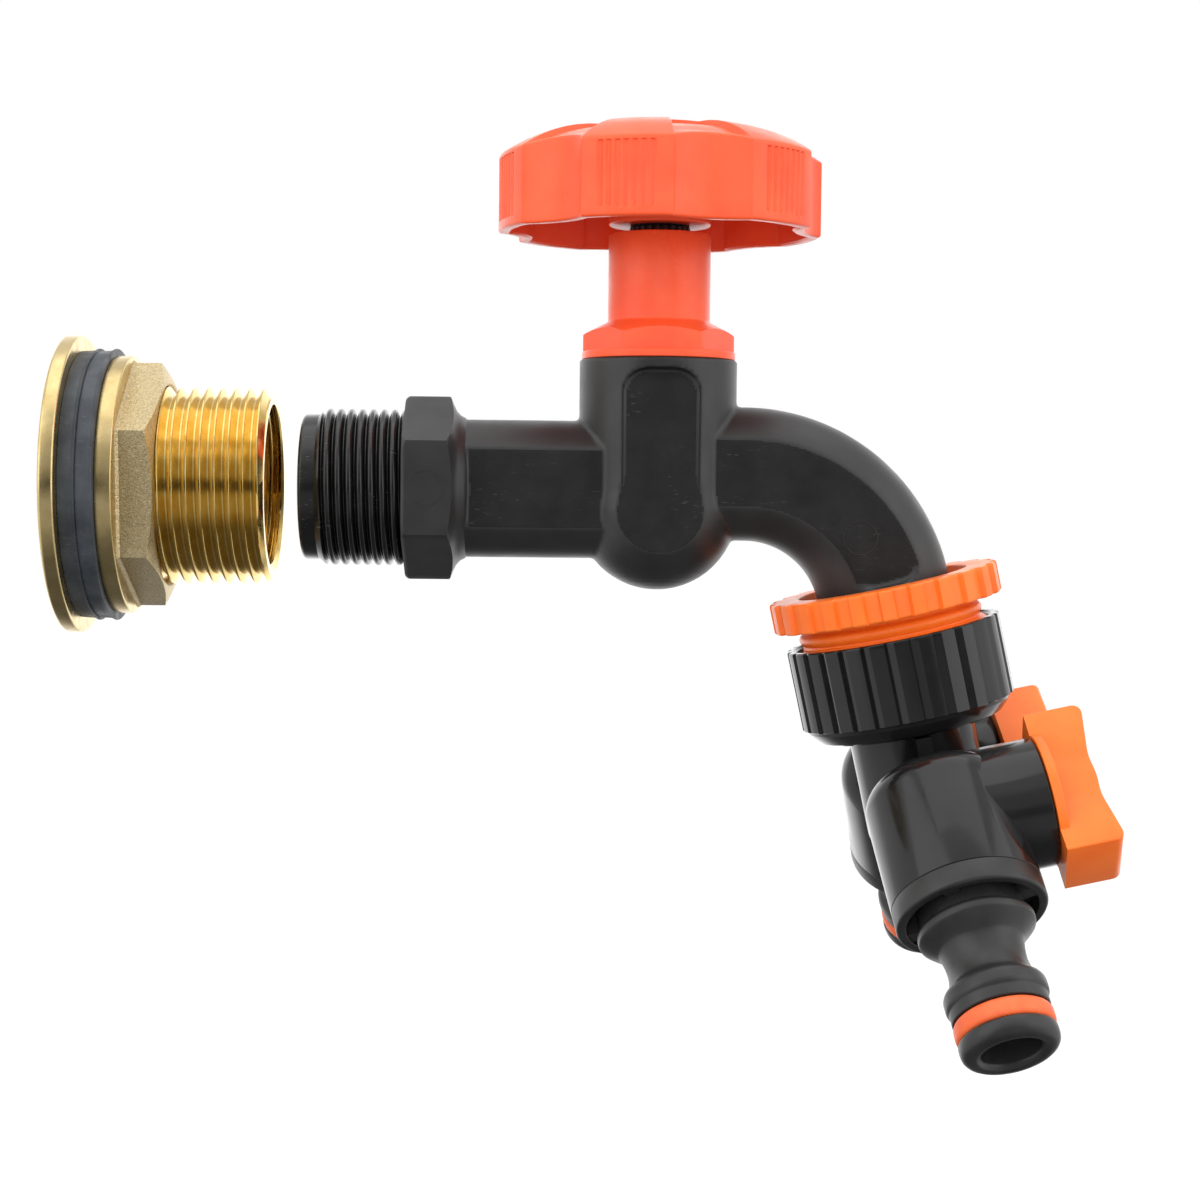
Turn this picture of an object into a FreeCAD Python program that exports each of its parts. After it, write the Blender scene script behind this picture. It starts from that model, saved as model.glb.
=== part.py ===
# Water butt tap with its brass tank connector and a two-way hose splitter.
# Millimetres. The origin is the centre of the connector's sealing face, +X runs along the inlet
# towards the tap and +Z is up.

import FreeCAD, Part
import math
import os
import re
import Sketcher

SIZES = [
    ("fit_gap", 0.06, "play between screwed threads drawn as plain cylinders"),
    ("run_gap", 0.05, "play between parts that turn or slide on each other"),
    ("face_gap", 0.05, "space between faces that close on each other"),
    ("soft_gap", 0.2, "space around rubber parts"),
    ("bsp_small_dia", 26.44, "three quarter inch thread, over the crests"),
    ("bsp_large_dia", 33.25, "one inch thread, over the crests"),
    ("flange_dia", 50.0, "tank connector flange"),
    ("flange_thick", 2.6, "tank connector flange"),
    ("tank_tube_len", 31.8, "tank connector thread"),
    ("tank_bore_dia", 23.0, "waterway through the tank connector"),
    ("tank_socket_len", 18.0, "inside thread of the tank connector"),
    ("tank_thread_pitch", 2.309, "grooves of the tank connector's outside thread"),
    ("tank_thread_depth", 1.48, "grooves of the tank connector's outside thread"),
    ("tank_thread_turns", 13, "number of grooves of that thread"),
    ("brass_edge", 0.6, "bevel on the brass edges"),
    ("washer_dia", 45.4, "tank washers"),
    ("washer_thick", 2.83, "tank washers"),
    ("backnut_collar_wide", 5.025, "round collar of the backnut, from its thread outwards"),
    ("backnut_collar_thick", 2.8, "round collar of the backnut"),
    ("backnut_wall", 1.175, "wall of the backnut from its thread to its flats"),
    ("backnut_hex_thick", 5.9, "hexagon of the backnut"),
    ("backnut_clock", 5.0, "turn of the backnut about its axis, degrees"),
    ("apart_gap", 5.1, "space between the connector and the tap's thread"),
    ("tap_reach", 59.8, "end of the inlet thread to the axis of the handwheel"),
    ("inlet_lead_dia", 24.5, "plain lead of the inlet"),
    ("inlet_lead_len", 2.8, "plain lead of the inlet"),
    ("inlet_thread_len", 14.3, "inlet thread"),
    ("inlet_hex_len", 8.7, "hexagon collar behind the inlet thread"),
    ("inlet_hex_flats", 27.0, "across the flats of the collar"),
    ("inlet_blend_len", 2.5, "taper from the collar to the barrel"),
    ("inlet_bore_dia", 17.0, "waterway of the inlet"),
    ("inlet_port_width", 12.0, "opening from the inlet to the pocket below the seat"),
    ("barrel_dia", 23.3, "round barrel of the inlet"),
    ("barrel_flat", 19.2, "across the grained flats of the barrel"),
    ("barrel_flat_start", 13.9, "axis of the handwheel to the near end of a barrel flat"),
    ("chamber_dia", 26.7, "upright chamber of the tap"),
    ("chamber_top", 22.0, "height of the chamber above the inlet axis"),
    ("bowl_dia", 27.4, "rounded bottom of the chamber"),
    ("bowl_drop", 3.2, "centre of the rounded bottom below the inlet axis"),
    ("panel_flat", 23.32, "across the front and back flats of the chamber"),
    ("panel_width", 12.8, "width of the chamber flats"),
    ("panel_top", 20.3, "top of the chamber flats above the inlet axis"),
    ("chamber_wall", 3.8, "wall between the chamber's inside and outside"),
    ("lower_bore_dia", 15.0, "pocket below the valve seat"),
    ("lower_bore_floor", 10.0, "floor of that pocket below the inlet axis"),
    ("seat_top", 1.5, "valve seat above the inlet axis"),
    ("seat_web", 3.5, "web that carries the valve seat"),
    ("seat_bore_dia", 12.0, "hole in the valve seat"),
    ("spout_dia", 22.7, "spout"),
    ("spout_rise", 2.9, "spout axis above the inlet axis"),
    ("spout_run", 14.9, "axis of the handwheel to the start of the bend"),
    ("spout_radius", 24.6, "bend of the spout"),
    ("spout_turn", 77.5, "turn of the bend, degrees"),
    ("spout_flat", 19.7, "across the grained flats of the spout"),
    ("spout_flat_start", 9.2, "axis of the handwheel to the start of the spout flats"),
    ("spout_bore_dia", 16.4, "waterway of the spout"),
    ("spout_bore_start", 10.6, "axis of the handwheel to the start of the spout waterway"),
    ("outlet_thread_len", 10.7, "outlet thread"),
    ("bonnet_thread_dia", 20.8, "thread of the bonnet"),
    ("bonnet_thread_len", 10.0, "thread of the bonnet"),
    ("bonnet_flange_dia", 26.0, "flange of the bonnet"),
    ("bonnet_flange_thick", 1.3, "flange of the bonnet"),
    ("bonnet_flats", 22.3, "across the flats of the bonnet hexagon"),
    ("bonnet_hex_thick", 4.9, "bonnet hexagon"),
    ("bonnet_hex_bevel", 1.1, "bevel on the corners of the bonnet hexagon"),
    ("bonnet_neck_dia", 17.3, "neck of the bonnet"),
    ("bonnet_neck_len", 14.9, "neck of the bonnet above the hexagon"),
    ("seal_width", 1.25, "bonnet seal, across the ring"),
    ("seal_thick", 1.5, "bonnet seal"),
    ("spindle_dia", 10.2, "spindle"),
    ("spindle_foot", 9.0, "lower end of the spindle above the inlet axis"),
    ("spindle_top_dia", 9.6, "splined top of the spindle"),
    ("spindle_top_len", 11.2, "splined top of the spindle"),
    ("spindle_groove_height", 36.8, "middle of the spindle's ring above the inlet axis"),
    ("spindle_ring_section", 1.5, "section of the spindle's ring"),
    ("jumper_dia", 14.8, "plate of the jumper"),
    ("jumper_thick", 2.0, "plate of the jumper"),
    ("jumper_pin_dia", 6.0, "pin of the jumper"),
    ("jumper_pin_len", 8.5, "pin of the jumper"),
    ("tap_washer_dia", 14.4, "rubber disc that closes on the seat"),
    ("tap_washer_thick", 3.0, "rubber disc that closes on the seat"),
    ("washer_screw_dia", 3.0, "screw through the rubber disc"),
    ("washer_screw_len", 7.5, "screw through the rubber disc"),
    ("washer_screw_head_dia", 6.4, "head of that screw"),
    ("washer_screw_head_thick", 1.3, "head of that screw"),
    ("hub_gap", 1.5, "top of the bonnet to the handwheel's hub, tap closed"),
    ("hub_dia", 17.3, "hub of the handwheel"),
    ("wheel_dia", 54.6, "handwheel over its lobes"),
    ("wheel_valley_depth", 2.5, "hollows between the lobes of the handwheel"),
    ("wheel_scallop_radius", 14.0, "curve of the hollows"),
    ("wheel_dome_step", 1.0, "hollows below the lobes on the dome"),
    ("wheel_wall", 2.2, "wall of the handwheel"),
    ("wheel_rim_drop", 1.54, "rim below the hub"),
    ("wheel_skirt_height", 12.6, "upright part of the rim"),
    ("wheel_height", 17.6, "rim to the top of the dome"),
    ("wheel_top_dia", 22.5, "flat top of the dome"),
    ("wheel_shoulder_in", 4.2, "middle of the dome's curve, in from the rim"),
    ("wheel_shoulder_drop", 2.6, "middle of the dome's curve, below its top"),
    ("wheel_cavity_depth", 11.8, "hollow under the dome"),
    ("wheel_clock", 15.5, "turn of the handwheel in the closed position, degrees"),
    ("wheel_screw_dia", 3.8, "screw that holds the handwheel"),
    ("wheel_screw_len", 9.0, "screw that holds the handwheel"),
    ("wheel_screw_head_dia", 7.2, "head of that screw"),
    ("wheel_screw_head_thick", 2.2, "head of that screw"),
    ("wheel_screw_head_round", 1.1, "rounded edge of that head"),
    ("ring_back", 1.1, "adapter's top face before the end of the bend"),
    ("adapter_dia", 39.2, "castellated rim of the adapter"),
    ("adapter_rim_thick", 5.2, "castellated rim of the adapter"),
    ("adapter_notch_depth", 0.8, "notches of the rim"),
    ("adapter_notch_width", 2.5, "notches of the rim"),
    ("adapter_notches", 24, "number of notches"),
    ("adapter_recess_dia", 29.0, "recess around the spout"),
    ("adapter_recess_depth", 1.7, "recess around the spout"),
    ("adapter_neck_dia", 31.4, "neck under the rim"),
    ("adapter_neck_end", 8.3, "end of the neck below the adapter's top face"),
    ("adapter_len", 17.0, "adapter from top to bottom face"),
    ("adapter_bore_dia", 18.0, "waterway of the adapter"),
    ("adapter_washer_thick", 2.0, "washer at the end of the outlet"),
    ("union_nut_wall", 1.725, "ribbed wall of the union nut, from its thread outwards"),
    ("union_nut_start", 8.57, "top of the union nut below the adapter's top face"),
    ("union_nut_len", 13.77, "ribbed part of the union nut"),
    ("union_skirt_len", 3.0, "rounded underside of the union nut"),
    ("union_skirt_dia", 29.0, "flat underside of the union nut"),
    ("union_rib_depth", 0.6, "grooves of the union nut"),
    ("union_rib_steep", 0.22, "steep side of a groove, across"),
    ("union_rib_slope", 1.35, "sloping side of a groove, across"),
    ("union_ribs", 28, "number of grooves"),
    ("union_lip_thick", 3.4, "lip of the union nut"),
    ("union_washer_thick", 2.3, "washer of the union"),
    ("tail_flange_dia", 30.6, "flange of the splitter inside the union nut"),
    ("tail_flange_thick", 2.2, "flange of the splitter inside the union nut"),
    ("tube_dia", 21.6, "middle tube of the splitter"),
    ("tube_end", 45.0, "closed end of the middle tube below the adapter's top face"),
    ("tube_bore_dia", 16.0, "waterway of the middle tube"),
    ("tube_floor", 2.2, "closed end of the middle tube"),
    ("tube_round", 3.0, "round on the closed end"),
    ("web_thick", 2.6, "web between the middle tube and the valve bodies"),
    ("web_reach", 15.0, "web, from the middle tube's axis outwards"),
    ("splitter_swivel", -2.1, "turn of the splitter about the union, degrees"),
    ("leg_splay", 40.5, "angle of each leg from the union's axis, degrees"),
    ("valve_drop", 38.8, "ball centres below the adapter's top face"),
    ("valve_out", 20.9, "ball centres from the union's axis"),
    ("valve_dia", 24.5, "valve body"),
    ("valve_top", 8.0, "top of the valve body above the ball centre"),
    ("valve_round", 5.0, "round on the top of the valve body"),
    ("valve_foot", 14.3, "foot of the valve body below the ball centre"),
    ("ball_dia", 12.4, "ball"),
    ("ball_bore_dia", 7.2, "waterway of the ball"),
    ("ball_slot_width", 2.5, "slot of the ball"),
    ("ball_slot_depth", 1.4, "slot of the ball"),
    ("valve_bore_dia", 13.5, "pocket of the ball"),
    ("ball_seat_inner", 3.6, "ball centre to the near face of a ball seat"),
    ("ball_seat_thick", 2.3, "ball seat"),
    ("ball_seat_lip", 0.58, "straight bore behind the curved face of a ball seat"),
    ("side_bore_dia", 7.2, "passage from the middle tube to the ball"),
    ("side_bore_drop", 39.6, "that passage below the adapter's top face"),
    ("boss_dia", 21.2, "round boss of the lever"),
    ("boss_reach", 16.2, "face of the boss from the ball centre"),
    ("stem_dia", 8.4, "valve stem"),
    ("stem_collar_dia", 10.0, "collar of the stem inside the boss"),
    ("stem_collar_thick", 1.2, "collar of the stem"),
    ("stem_tongue_len", 6.0, "tongue of the stem, across"),
    ("stem_top_dia", 6.4, "top of the stem inside the lever"),
    ("stem_top_len", 5.6, "top of the stem inside the lever"),
    ("stem_ring_at", 11.6, "middle of the stem's ring from the ball centre"),
    ("stem_ring_section", 1.8, "section of the stem's ring"),
    ("lever_disc_dia", 21.8, "round base of the lever"),
    ("lever_disc_thick", 1.6, "round base of the lever"),
    ("lever_len", 26.0, "wing of the lever"),
    ("lever_width", 12.8, "wing of the lever at its ends"),
    ("lever_top", 9.6, "top of the wing above the lever's base"),
    ("lever_dip", 1.5, "hollow in the top of the wing"),
    ("lever_waist", 1.0, "hollow in each side of the wing"),
    ("lever_waist_len", 13.0, "hollow in each side of the wing"),
    ("lever_round", 1.8, "rounded corners of the wing"),
    ("nipple_reach", 41.8, "end of the hose nipple below the ball centre"),
    ("nipple_bore_dia", 9.4, "waterway of the hose nipple"),
    ("nipple_tip_dia", 15.6, "rounded end ring of the hose nipple"),
    ("nipple_tip_len", 3.1, "rounded end ring of the hose nipple"),
    ("nipple_tip_round", 1.03, "round on the end of the hose nipple"),
    ("nipple_groove_len", 3.3, "groove of the nipple's ring"),
    ("nipple_groove_dia", 12.0, "floor of that groove"),
    ("nipple_ring_dia", 15.8, "orange ring of the hose nipple"),
    ("nipple_ring_crown", 0.82, "rounded outside of that ring"),
    ("nipple_band_dia", 15.5, "band above the groove"),
    ("nipple_band_len", 2.0, "band above the groove"),
    ("nipple_shoulder_dia", 16.3, "shoulder of the hose nipple"),
    ("nipple_shoulder_len", 3.1, "shoulder of the hose nipple"),
    ("nipple_waist_dia", 12.5, "waist of the hose nipple"),
    ("nipple_waist_at", 17.3, "waist from the end of the nipple"),
    ("nipple_throat_dia", 14.8, "curve between the waist and the bulb"),
    ("nipple_throat_at", 19.52, "that curve from the end of the nipple"),
    ("nipple_bulb_dia", 18.9, "bulb of the hose nipple"),
    ("nipple_bulb_at", 21.0, "bulb from the end of the nipple"),
    ("nipple_bulb_len", 1.7, "edge of the bulb"),
    ("nipple_bulb_round", 0.42, "round on the edge of the bulb"),
    ("nipple_neck_dia", 17.0, "neck behind the bulb"),
    ("nipple_collar_len", 3.7, "collar against the valve body"),
    ("nipple_collar_wall", 1.6, "collar around the slots"),
    ("nipple_slot_depth", 2.8, "slots inside the collar"),
    ("nipple_bridges", 4, "number of bridges between the slots"),
    ("nipple_bridge_angle", 16.0, "width of a bridge, degrees"),
    ("nipple_spigot_dia", 17.9, "part of the nipple inside the valve body"),
]

NAMES = {row[0] for row in SIZES}

doc = FreeCAD.newDocument("water_butt_tap")
sheet = doc.addObject("Spreadsheet::Sheet", "Sizes")
for number, (alias, amount, meaning) in enumerate(SIZES, start=1):
    sheet.set("A%d" % number, meaning)
    sheet.set("B%d" % number, str(amount))
    sheet.setAlias("B%d" % number, alias)
doc.recompute()


def cells(text):
    """Return the text with every size name written as a cell of the sheet."""
    def as_cell(found):
        word = found.group(0)
        return "Sizes." + word if word in NAMES else word

    return re.sub(r"[a-z_]\w*", as_cell, text)


def value(text):
    """Return the number that an expression gives with the present sizes."""
    return float(sheet.evalExpression(cells(text)))


def bind(thing, **expressions):
    """Tie properties of an object to the sheet."""
    for prop, text in expressions.items():
        thing.setExpression(prop, cells(text))


def place(x="0", y="0", z="0", turn=None):
    """Return the expression of a placement; turn is an expression made with spin()."""
    return "placement(vector(%s; %s; %s); %s)" % (x, y, z, turn or "rotation(vector(0; 0; 1); 0)")


def spin(axis, angle):
    """Return the expression of a rotation about X, Y or Z."""
    vectors = {"X": "vector(1; 0; 0)", "Y": "vector(0; 1; 0)", "Z": "vector(0; 0; 1)"}
    return "rotation(%s; %s)" % (vectors[axis], angle)


# Reference places

ALONG_INLET = spin("Y", "90")
TAP_X = "(tank_tube_len + apart_gap + tap_reach)"
BONNET_TOP = "(chamber_top + bonnet_flange_thick + bonnet_hex_thick + bonnet_neck_len)"
HUB_FOOT = "(%s + hub_gap)" % BONNET_TOP
UNION_X = "(%s + spout_run + spout_radius * sin(spout_turn) - ring_back * cos(spout_turn))" % TAP_X
UNION_Z = "(spout_rise - spout_radius * (1 - cos(spout_turn)) + ring_back * sin(spout_turn))"
UNION = place(UNION_X, "0", UNION_Z, spin("Y", "spout_turn - 90"))
SPLITTER = "%s * %s" % (UNION, place(turn=spin("Z", "splitter_swivel")))
SIDES = {"front": "-1", "back": "1"}


def leg(side):
    """Return the placement of a leg: origin at the ball centre, +Z up the leg, +X to the lever."""
    sign = SIDES[side]
    return "%s * %s" % (SPLITTER, place("0", "%s * valve_out" % sign, "-valve_drop",
                                        spin("X", "%s * leg_splay" % sign)))


# Sketches and features

def origin_plane(body, role):
    """Return the origin plane of a body that has the given role."""
    return [item for item in body.Origin.OriginFeatures if item.Role == role][0]


def pin_point(sketch, shape, end, x, y):
    """Fix one end of a sketch line or arc at x, y."""
    for axis, kind, text in ((-2, "DistanceX", x), (-1, "DistanceY", y)):
        if text == "0":
            sketch.addConstraint(Sketcher.Constraint("PointOnObject", shape, end, axis))
            continue
        number = sketch.addConstraint(Sketcher.Constraint(kind, -1, 1, shape, end, value(text)))
        name = "%s%d" % (kind, number)
        sketch.renameConstraint(number, name)
        sketch.setExpression("Constraints.%s" % name, cells(text))


def draw_loop(sketch, corners):
    """Draw a closed outline.

    Each corner is (x, y), or (x, y, mid_x, mid_y) where an arc through the middle point
    leads to the next corner.
    """
    spots = [FreeCAD.Vector(value(corner[0]), value(corner[1]), 0) for corner in corners]
    ends = []
    for index, corner in enumerate(corners):
        start = spots[index]
        finish = spots[(index + 1) % len(corners)]
        if len(corner) == 4:
            middle = FreeCAD.Vector(value(corner[2]), value(corner[3]), 0)
            turn = (middle - start).cross(finish - middle).z
            shape = sketch.addGeometry(Part.Arc(start, middle, finish))
            ends.append((shape, 1, 2) if turn > 0 else (shape, 2, 1))
            dot = sketch.addGeometry(Part.Point(middle), True)
            sketch.addConstraint(Sketcher.Constraint("PointOnObject", dot, 1, shape))
            pin_point(sketch, dot, 1, corner[2], corner[3])
        else:
            shape = sketch.addGeometry(Part.LineSegment(start, finish))
            ends.append((shape, 1, 2))
    for index, corner in enumerate(corners):
        shape, first, last = ends[index]
        before, before_first, before_last = ends[index - 1]
        sketch.addConstraint(Sketcher.Constraint("Coincident", before, before_last, shape, first))
        pin_point(sketch, shape, first, corner[0], corner[1])


def draw_circle(sketch, x, y, radius):
    """Draw a full circle."""
    centre = FreeCAD.Vector(value(x), value(y), 0)
    shape = sketch.addGeometry(Part.Circle(centre, FreeCAD.Vector(0, 0, 1), value(radius)))
    pin_point(sketch, shape, 3, x, y)
    number = sketch.addConstraint(Sketcher.Constraint("Radius", shape, value(radius)))
    sketch.renameConstraint(number, "Radius%d" % number)
    sketch.setExpression("Constraints.Radius%d" % number, cells(radius))


def new_sketch(body, name, role, lift=None, turn=None):
    """Make a sketch on an origin plane of a body, lifted off it or turned in it by expressions."""
    sketch = body.newObject("Sketcher::SketchObject", name)
    sketch.AttachmentSupport = (origin_plane(body, role), [""])
    sketch.MapMode = "FlatFace"
    if lift or turn:
        bind(sketch, **{"AttachmentOffset": place(z=lift or "0", turn=turn)})
    return sketch


def new_body(label, where=None):
    """Make an empty body with a label and a place."""
    body = doc.addObject("PartDesign::Body", label)
    body.Label = label
    if where:
        bind(body, Placement=where)
    return body


def turned(label, outline, where=None):
    """Make a body by turning an outline of (radius, height) corners about its Z axis."""
    body = new_body(label, where)
    sketch = new_sketch(body, label + "_outline", "XZ_Plane")
    draw_loop(sketch, outline)
    feature = body.newObject("PartDesign::Revolution", label + "_turned")
    feature.Profile = sketch
    feature.ReferenceAxis = (sketch, ["V_Axis"])
    feature.Angle = 360
    return body


def hexagon(flats):
    """Return the corners of a hexagon with its corners on the sketch's X axis."""
    corners = []
    for step in range(6):
        reach = "%s / 2 / cos(30)" % flats
        corners.append(("%s * cos(%d)" % (reach, 60 * step),
                        "0" if step % 3 == 0 else "%s * sin(%d)" % (reach, 60 * step)))
    return corners


def pad(body, sketch, length, both_ways=False):
    """Raise a sketch to a length, one way along its normal or half each way."""
    feature = body.newObject("PartDesign::Pad", sketch.Name + "_pad")
    feature.Profile = sketch
    feature.SideType = "Symmetric" if both_ways else "One side"
    bind(feature, Length=length)
    return feature


def pocket(body, sketch, length, reversed_way=False, both_ways=False):
    """Cut a sketch into a body to a depth."""
    feature = body.newObject("PartDesign::Pocket", sketch.Name + "_pocket")
    feature.Profile = sketch
    feature.SideType = "Symmetric" if both_ways else "One side"
    feature.Reversed = reversed_way
    bind(feature, Length=length)
    return feature


def round_groove(body, sketch, angle):
    """Cut a sketch into a body by turning it about the body's Z axis, half the angle each way."""
    feature = body.newObject("PartDesign::Groove", sketch.Name + "_groove")
    feature.Profile = sketch
    feature.ReferenceAxis = (sketch, ["V_Axis"])
    feature.Midplane = True
    bind(feature, Angle=angle)
    return feature


def repeat_round(body, feature, count):
    """Repeat a feature evenly about the body's Z axis."""
    pattern = body.newObject("PartDesign::PolarPattern", feature.Name + "_round")
    pattern.Originals = [feature]
    pattern.Axis = (body.Origin.OriginFeatures[2], [""])
    pattern.Angle = 360
    bind(pattern, Occurrences=count)
    body.Tip = pattern
    return pattern


# Part solids and booleans

def side_step(sign, across, depth):
    """Return where a cutter starts that trims one side of a piece to a width across its flats."""
    return "%s * %s / 2 - %s * (1 - %s) / 2" % (sign, across, depth, sign)


def cylinder(name, radius, height, where=None):
    """Make a cylinder that stands on its place's XY plane."""
    shape = doc.addObject("Part::Cylinder", name)
    bind(shape, Radius=radius, Height=height)
    if where:
        bind(shape, Placement=where)
    return shape


def box(name, length, width, height, where=None):
    """Make a box from its lowest corner."""
    shape = doc.addObject("Part::Box", name)
    bind(shape, Length=length, Width=width, Height=height)
    if where:
        bind(shape, Placement=where)
    return shape


def fuse(name, shapes):
    """Join solids."""
    joined = doc.addObject("Part::MultiFuse", name)
    joined.Shapes = shapes
    joined.Refine = True
    return joined


def cut(name, base, tool, where=None):
    """Take one solid from another."""
    result = doc.addObject("Part::Cut", name)
    result.Base = base
    result.Tool = tool
    result.Refine = True
    result.Label = name
    if where:
        bind(result, Placement=where)
    return result


# Tank connector, washers and backnut

thread_end = "(tank_tube_len - brass_edge)"
thread_turn = thread_end + " - %.1f * tank_thread_pitch"
thread_grooves = []
for groove in reversed(range(round(value("tank_thread_turns")))):
    thread_grooves.append(("bsp_large_dia / 2", thread_turn % (groove + 1)))
    thread_grooves.append(("bsp_large_dia / 2 - tank_thread_depth", thread_turn % (groove + 0.5)))
turned("tank_connector", [
    ("tank_bore_dia / 2", "-flange_thick"),
    ("flange_dia / 2 - brass_edge", "-flange_thick"),
    ("flange_dia / 2", "brass_edge - flange_thick"),
    ("flange_dia / 2", "0"),
    ("bsp_large_dia / 2", "0"),
    *thread_grooves,
    ("bsp_large_dia / 2", thread_end),
    ("bsp_large_dia / 2 - brass_edge", "tank_tube_len"),
    ("bsp_small_dia / 2 + fit_gap + brass_edge", "tank_tube_len"),
    ("bsp_small_dia / 2 + fit_gap", "tank_tube_len - brass_edge"),
    ("bsp_small_dia / 2 + fit_gap", "tank_tube_len - tank_socket_len"),
    ("tank_bore_dia / 2", "tank_tube_len - tank_socket_len"),
], place(turn=ALONG_INLET))


def tank_washer(label, start):
    """Make one flat rubber washer of the tank connector."""
    return turned(label, [
        ("bsp_large_dia / 2 + soft_gap", "0"),
        ("washer_dia / 2", "0"),
        ("washer_dia / 2", "washer_thick"),
        ("bsp_large_dia / 2 + soft_gap", "washer_thick"),
    ], place(start, turn=ALONG_INLET))


tank_washer("inner_washer", "0")
tank_washer("outer_washer", "washer_thick")

backnut = turned("backnut", [
    ("bsp_large_dia / 2 + fit_gap", "0"),
    ("bsp_large_dia / 2 + backnut_collar_wide", "0"),
    ("bsp_large_dia / 2 + backnut_collar_wide", "backnut_collar_thick - brass_edge / 2"),
    ("bsp_large_dia / 2 + backnut_collar_wide - brass_edge / 2", "backnut_collar_thick"),
    ("bsp_large_dia / 2 + fit_gap", "backnut_collar_thick"),
], place("2 * washer_thick", turn="%s * %s" % (ALONG_INLET, spin("Z", "backnut_clock"))))
backnut_hex = new_sketch(backnut, "backnut_hexagon", "XY_Plane", "backnut_collar_thick")
draw_loop(backnut_hex, hexagon("(bsp_large_dia + 2 * backnut_wall)"))
draw_circle(backnut_hex, "0", "0", "bsp_large_dia / 2 + fit_gap")
pad(backnut, backnut_hex, "backnut_hex_thick")

# Tap body

inlet_start = "-tap_reach"
thread_start = "(inlet_lead_len - tap_reach)"
collar_start = "(%s + inlet_thread_len)" % thread_start
collar_end = "(%s + inlet_hex_len)" % collar_start
blend_end = "(%s + inlet_blend_len)" % collar_end
tap_collar = doc.addObject("Part::Prism", "tap_collar")
tap_collar.Polygon = 6
bind(tap_collar, Circumradius="inlet_hex_flats / 2 / cos(30)", Height="inlet_hex_len",
     Placement=place(collar_start, turn=ALONG_INLET))
tap_blend = doc.addObject("Part::Cone", "tap_blend")
bind(tap_blend, Radius1="inlet_hex_flats / 2", Radius2="barrel_dia / 2", Height="inlet_blend_len",
     Placement=place(collar_end, turn=ALONG_INLET))
tap_bowl = doc.addObject("Part::Sphere", "tap_bowl")
bind(tap_bowl, Radius="bowl_dia / 2", Placement=place(z="-bowl_drop"))
barrel = cylinder("tap_barrel", "barrel_dia / 2", "-%s" % collar_end,
                  place(collar_end, turn=ALONG_INLET))
barrel_flat_len = "(-%s - barrel_flat_start)" % blend_end
barrel_skin = "(barrel_dia - barrel_flat)"
barrel_cutters = [
    box("barrel_flat_" + side, barrel_flat_len, barrel_skin, "barrel_dia",
        place(blend_end, side_step(sign, "barrel_flat", barrel_skin), "-barrel_dia / 2"))
    for side, sign in SIDES.items()]
barrel_flatted = cut("barrel_flatted", barrel, fuse("barrel_cutters", barrel_cutters))
chamber = cylinder("tap_chamber", "chamber_dia / 2", "chamber_top + bowl_drop", place(z="-bowl_drop"))
chamber_round = fuse("chamber_round", [chamber, tap_bowl])
panel_height = "(panel_top + bowl_drop + bowl_dia / 2)"
panel_cutters = [
    box("panel_" + side, "panel_width + chamber_wall", "chamber_wall", panel_height,
        place("-(panel_width + chamber_wall) / 2", side_step(sign, "panel_flat", "chamber_wall"),
              "panel_top - %s" % panel_height))
    for side, sign in SIDES.items()]
chamber_panelled = cut("chamber_panelled", chamber_round, fuse("panel_cutters", panel_cutters))


def torus_piece(name, radius, where):
    """Make the bend of the spout as part of a torus."""
    shape = doc.addObject("Part::Torus", name)
    bind(shape, Radius1="spout_radius", Radius2=radius, Angle3="spout_turn", Placement=where)
    return shape


BEND = place("spout_run", "0", "spout_rise - spout_radius",
             "%s * %s" % (spin("X", "90"), spin("Z", "90 - spout_turn")))
TO_OUTLET = place("spout_run + spout_radius * sin(spout_turn)", "0",
                  "spout_rise - spout_radius * (1 - cos(spout_turn))", spin("Y", "90 + spout_turn"))
outlet_neck = "(adapter_recess_depth - ring_back)"
spout_skin = [
    cylinder("spout_run_outside", "spout_dia / 2", "spout_run", place(z="spout_rise", turn=ALONG_INLET)),
    torus_piece("spout_bend_outside", "spout_dia / 2", BEND),
    cylinder("spout_neck_outside", "spout_dia / 2", outlet_neck, TO_OUTLET),
]
spout_round = fuse("spout_round", spout_skin)
spout_cut_len = "(spout_run + spout_radius + spout_dia)"
spout_cut_height = "(spout_radius * 2 + spout_dia)"
spout_skin_depth = "(spout_dia - spout_flat)"
spout_cutters = [
    box("spout_flat_" + side, spout_cut_len, spout_skin_depth, spout_cut_height,
        place("spout_flat_start", side_step(sign, "spout_flat", spout_skin_depth),
              "spout_rise - %s / 2" % spout_cut_height))
    for side, sign in SIDES.items()]
spout_flatted = cut("spout_flatted", spout_round, fuse("spout_cutters", spout_cutters))
outlet = cylinder("outlet_thread", "bsp_small_dia / 2", "outlet_thread_len",
                  "%s * %s" % (TO_OUTLET, place(z=outlet_neck)))
tap_outside = fuse("tap_outside", [
    cylinder("inlet_lead", "inlet_lead_dia / 2", "inlet_lead_len", place(inlet_start, turn=ALONG_INLET)),
    cylinder("inlet_thread", "bsp_small_dia / 2", "inlet_thread_len", place(thread_start, turn=ALONG_INLET)),
    tap_collar, tap_blend, barrel_flatted, chamber_panelled, spout_flatted, outlet])
upper_bore_dia = "(chamber_dia - 2 * chamber_wall)"
bonnet_foot = "(chamber_top - bonnet_thread_len)"
spout_port = "(%s / 2 - seat_top) / 2" % upper_bore_dia
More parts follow.
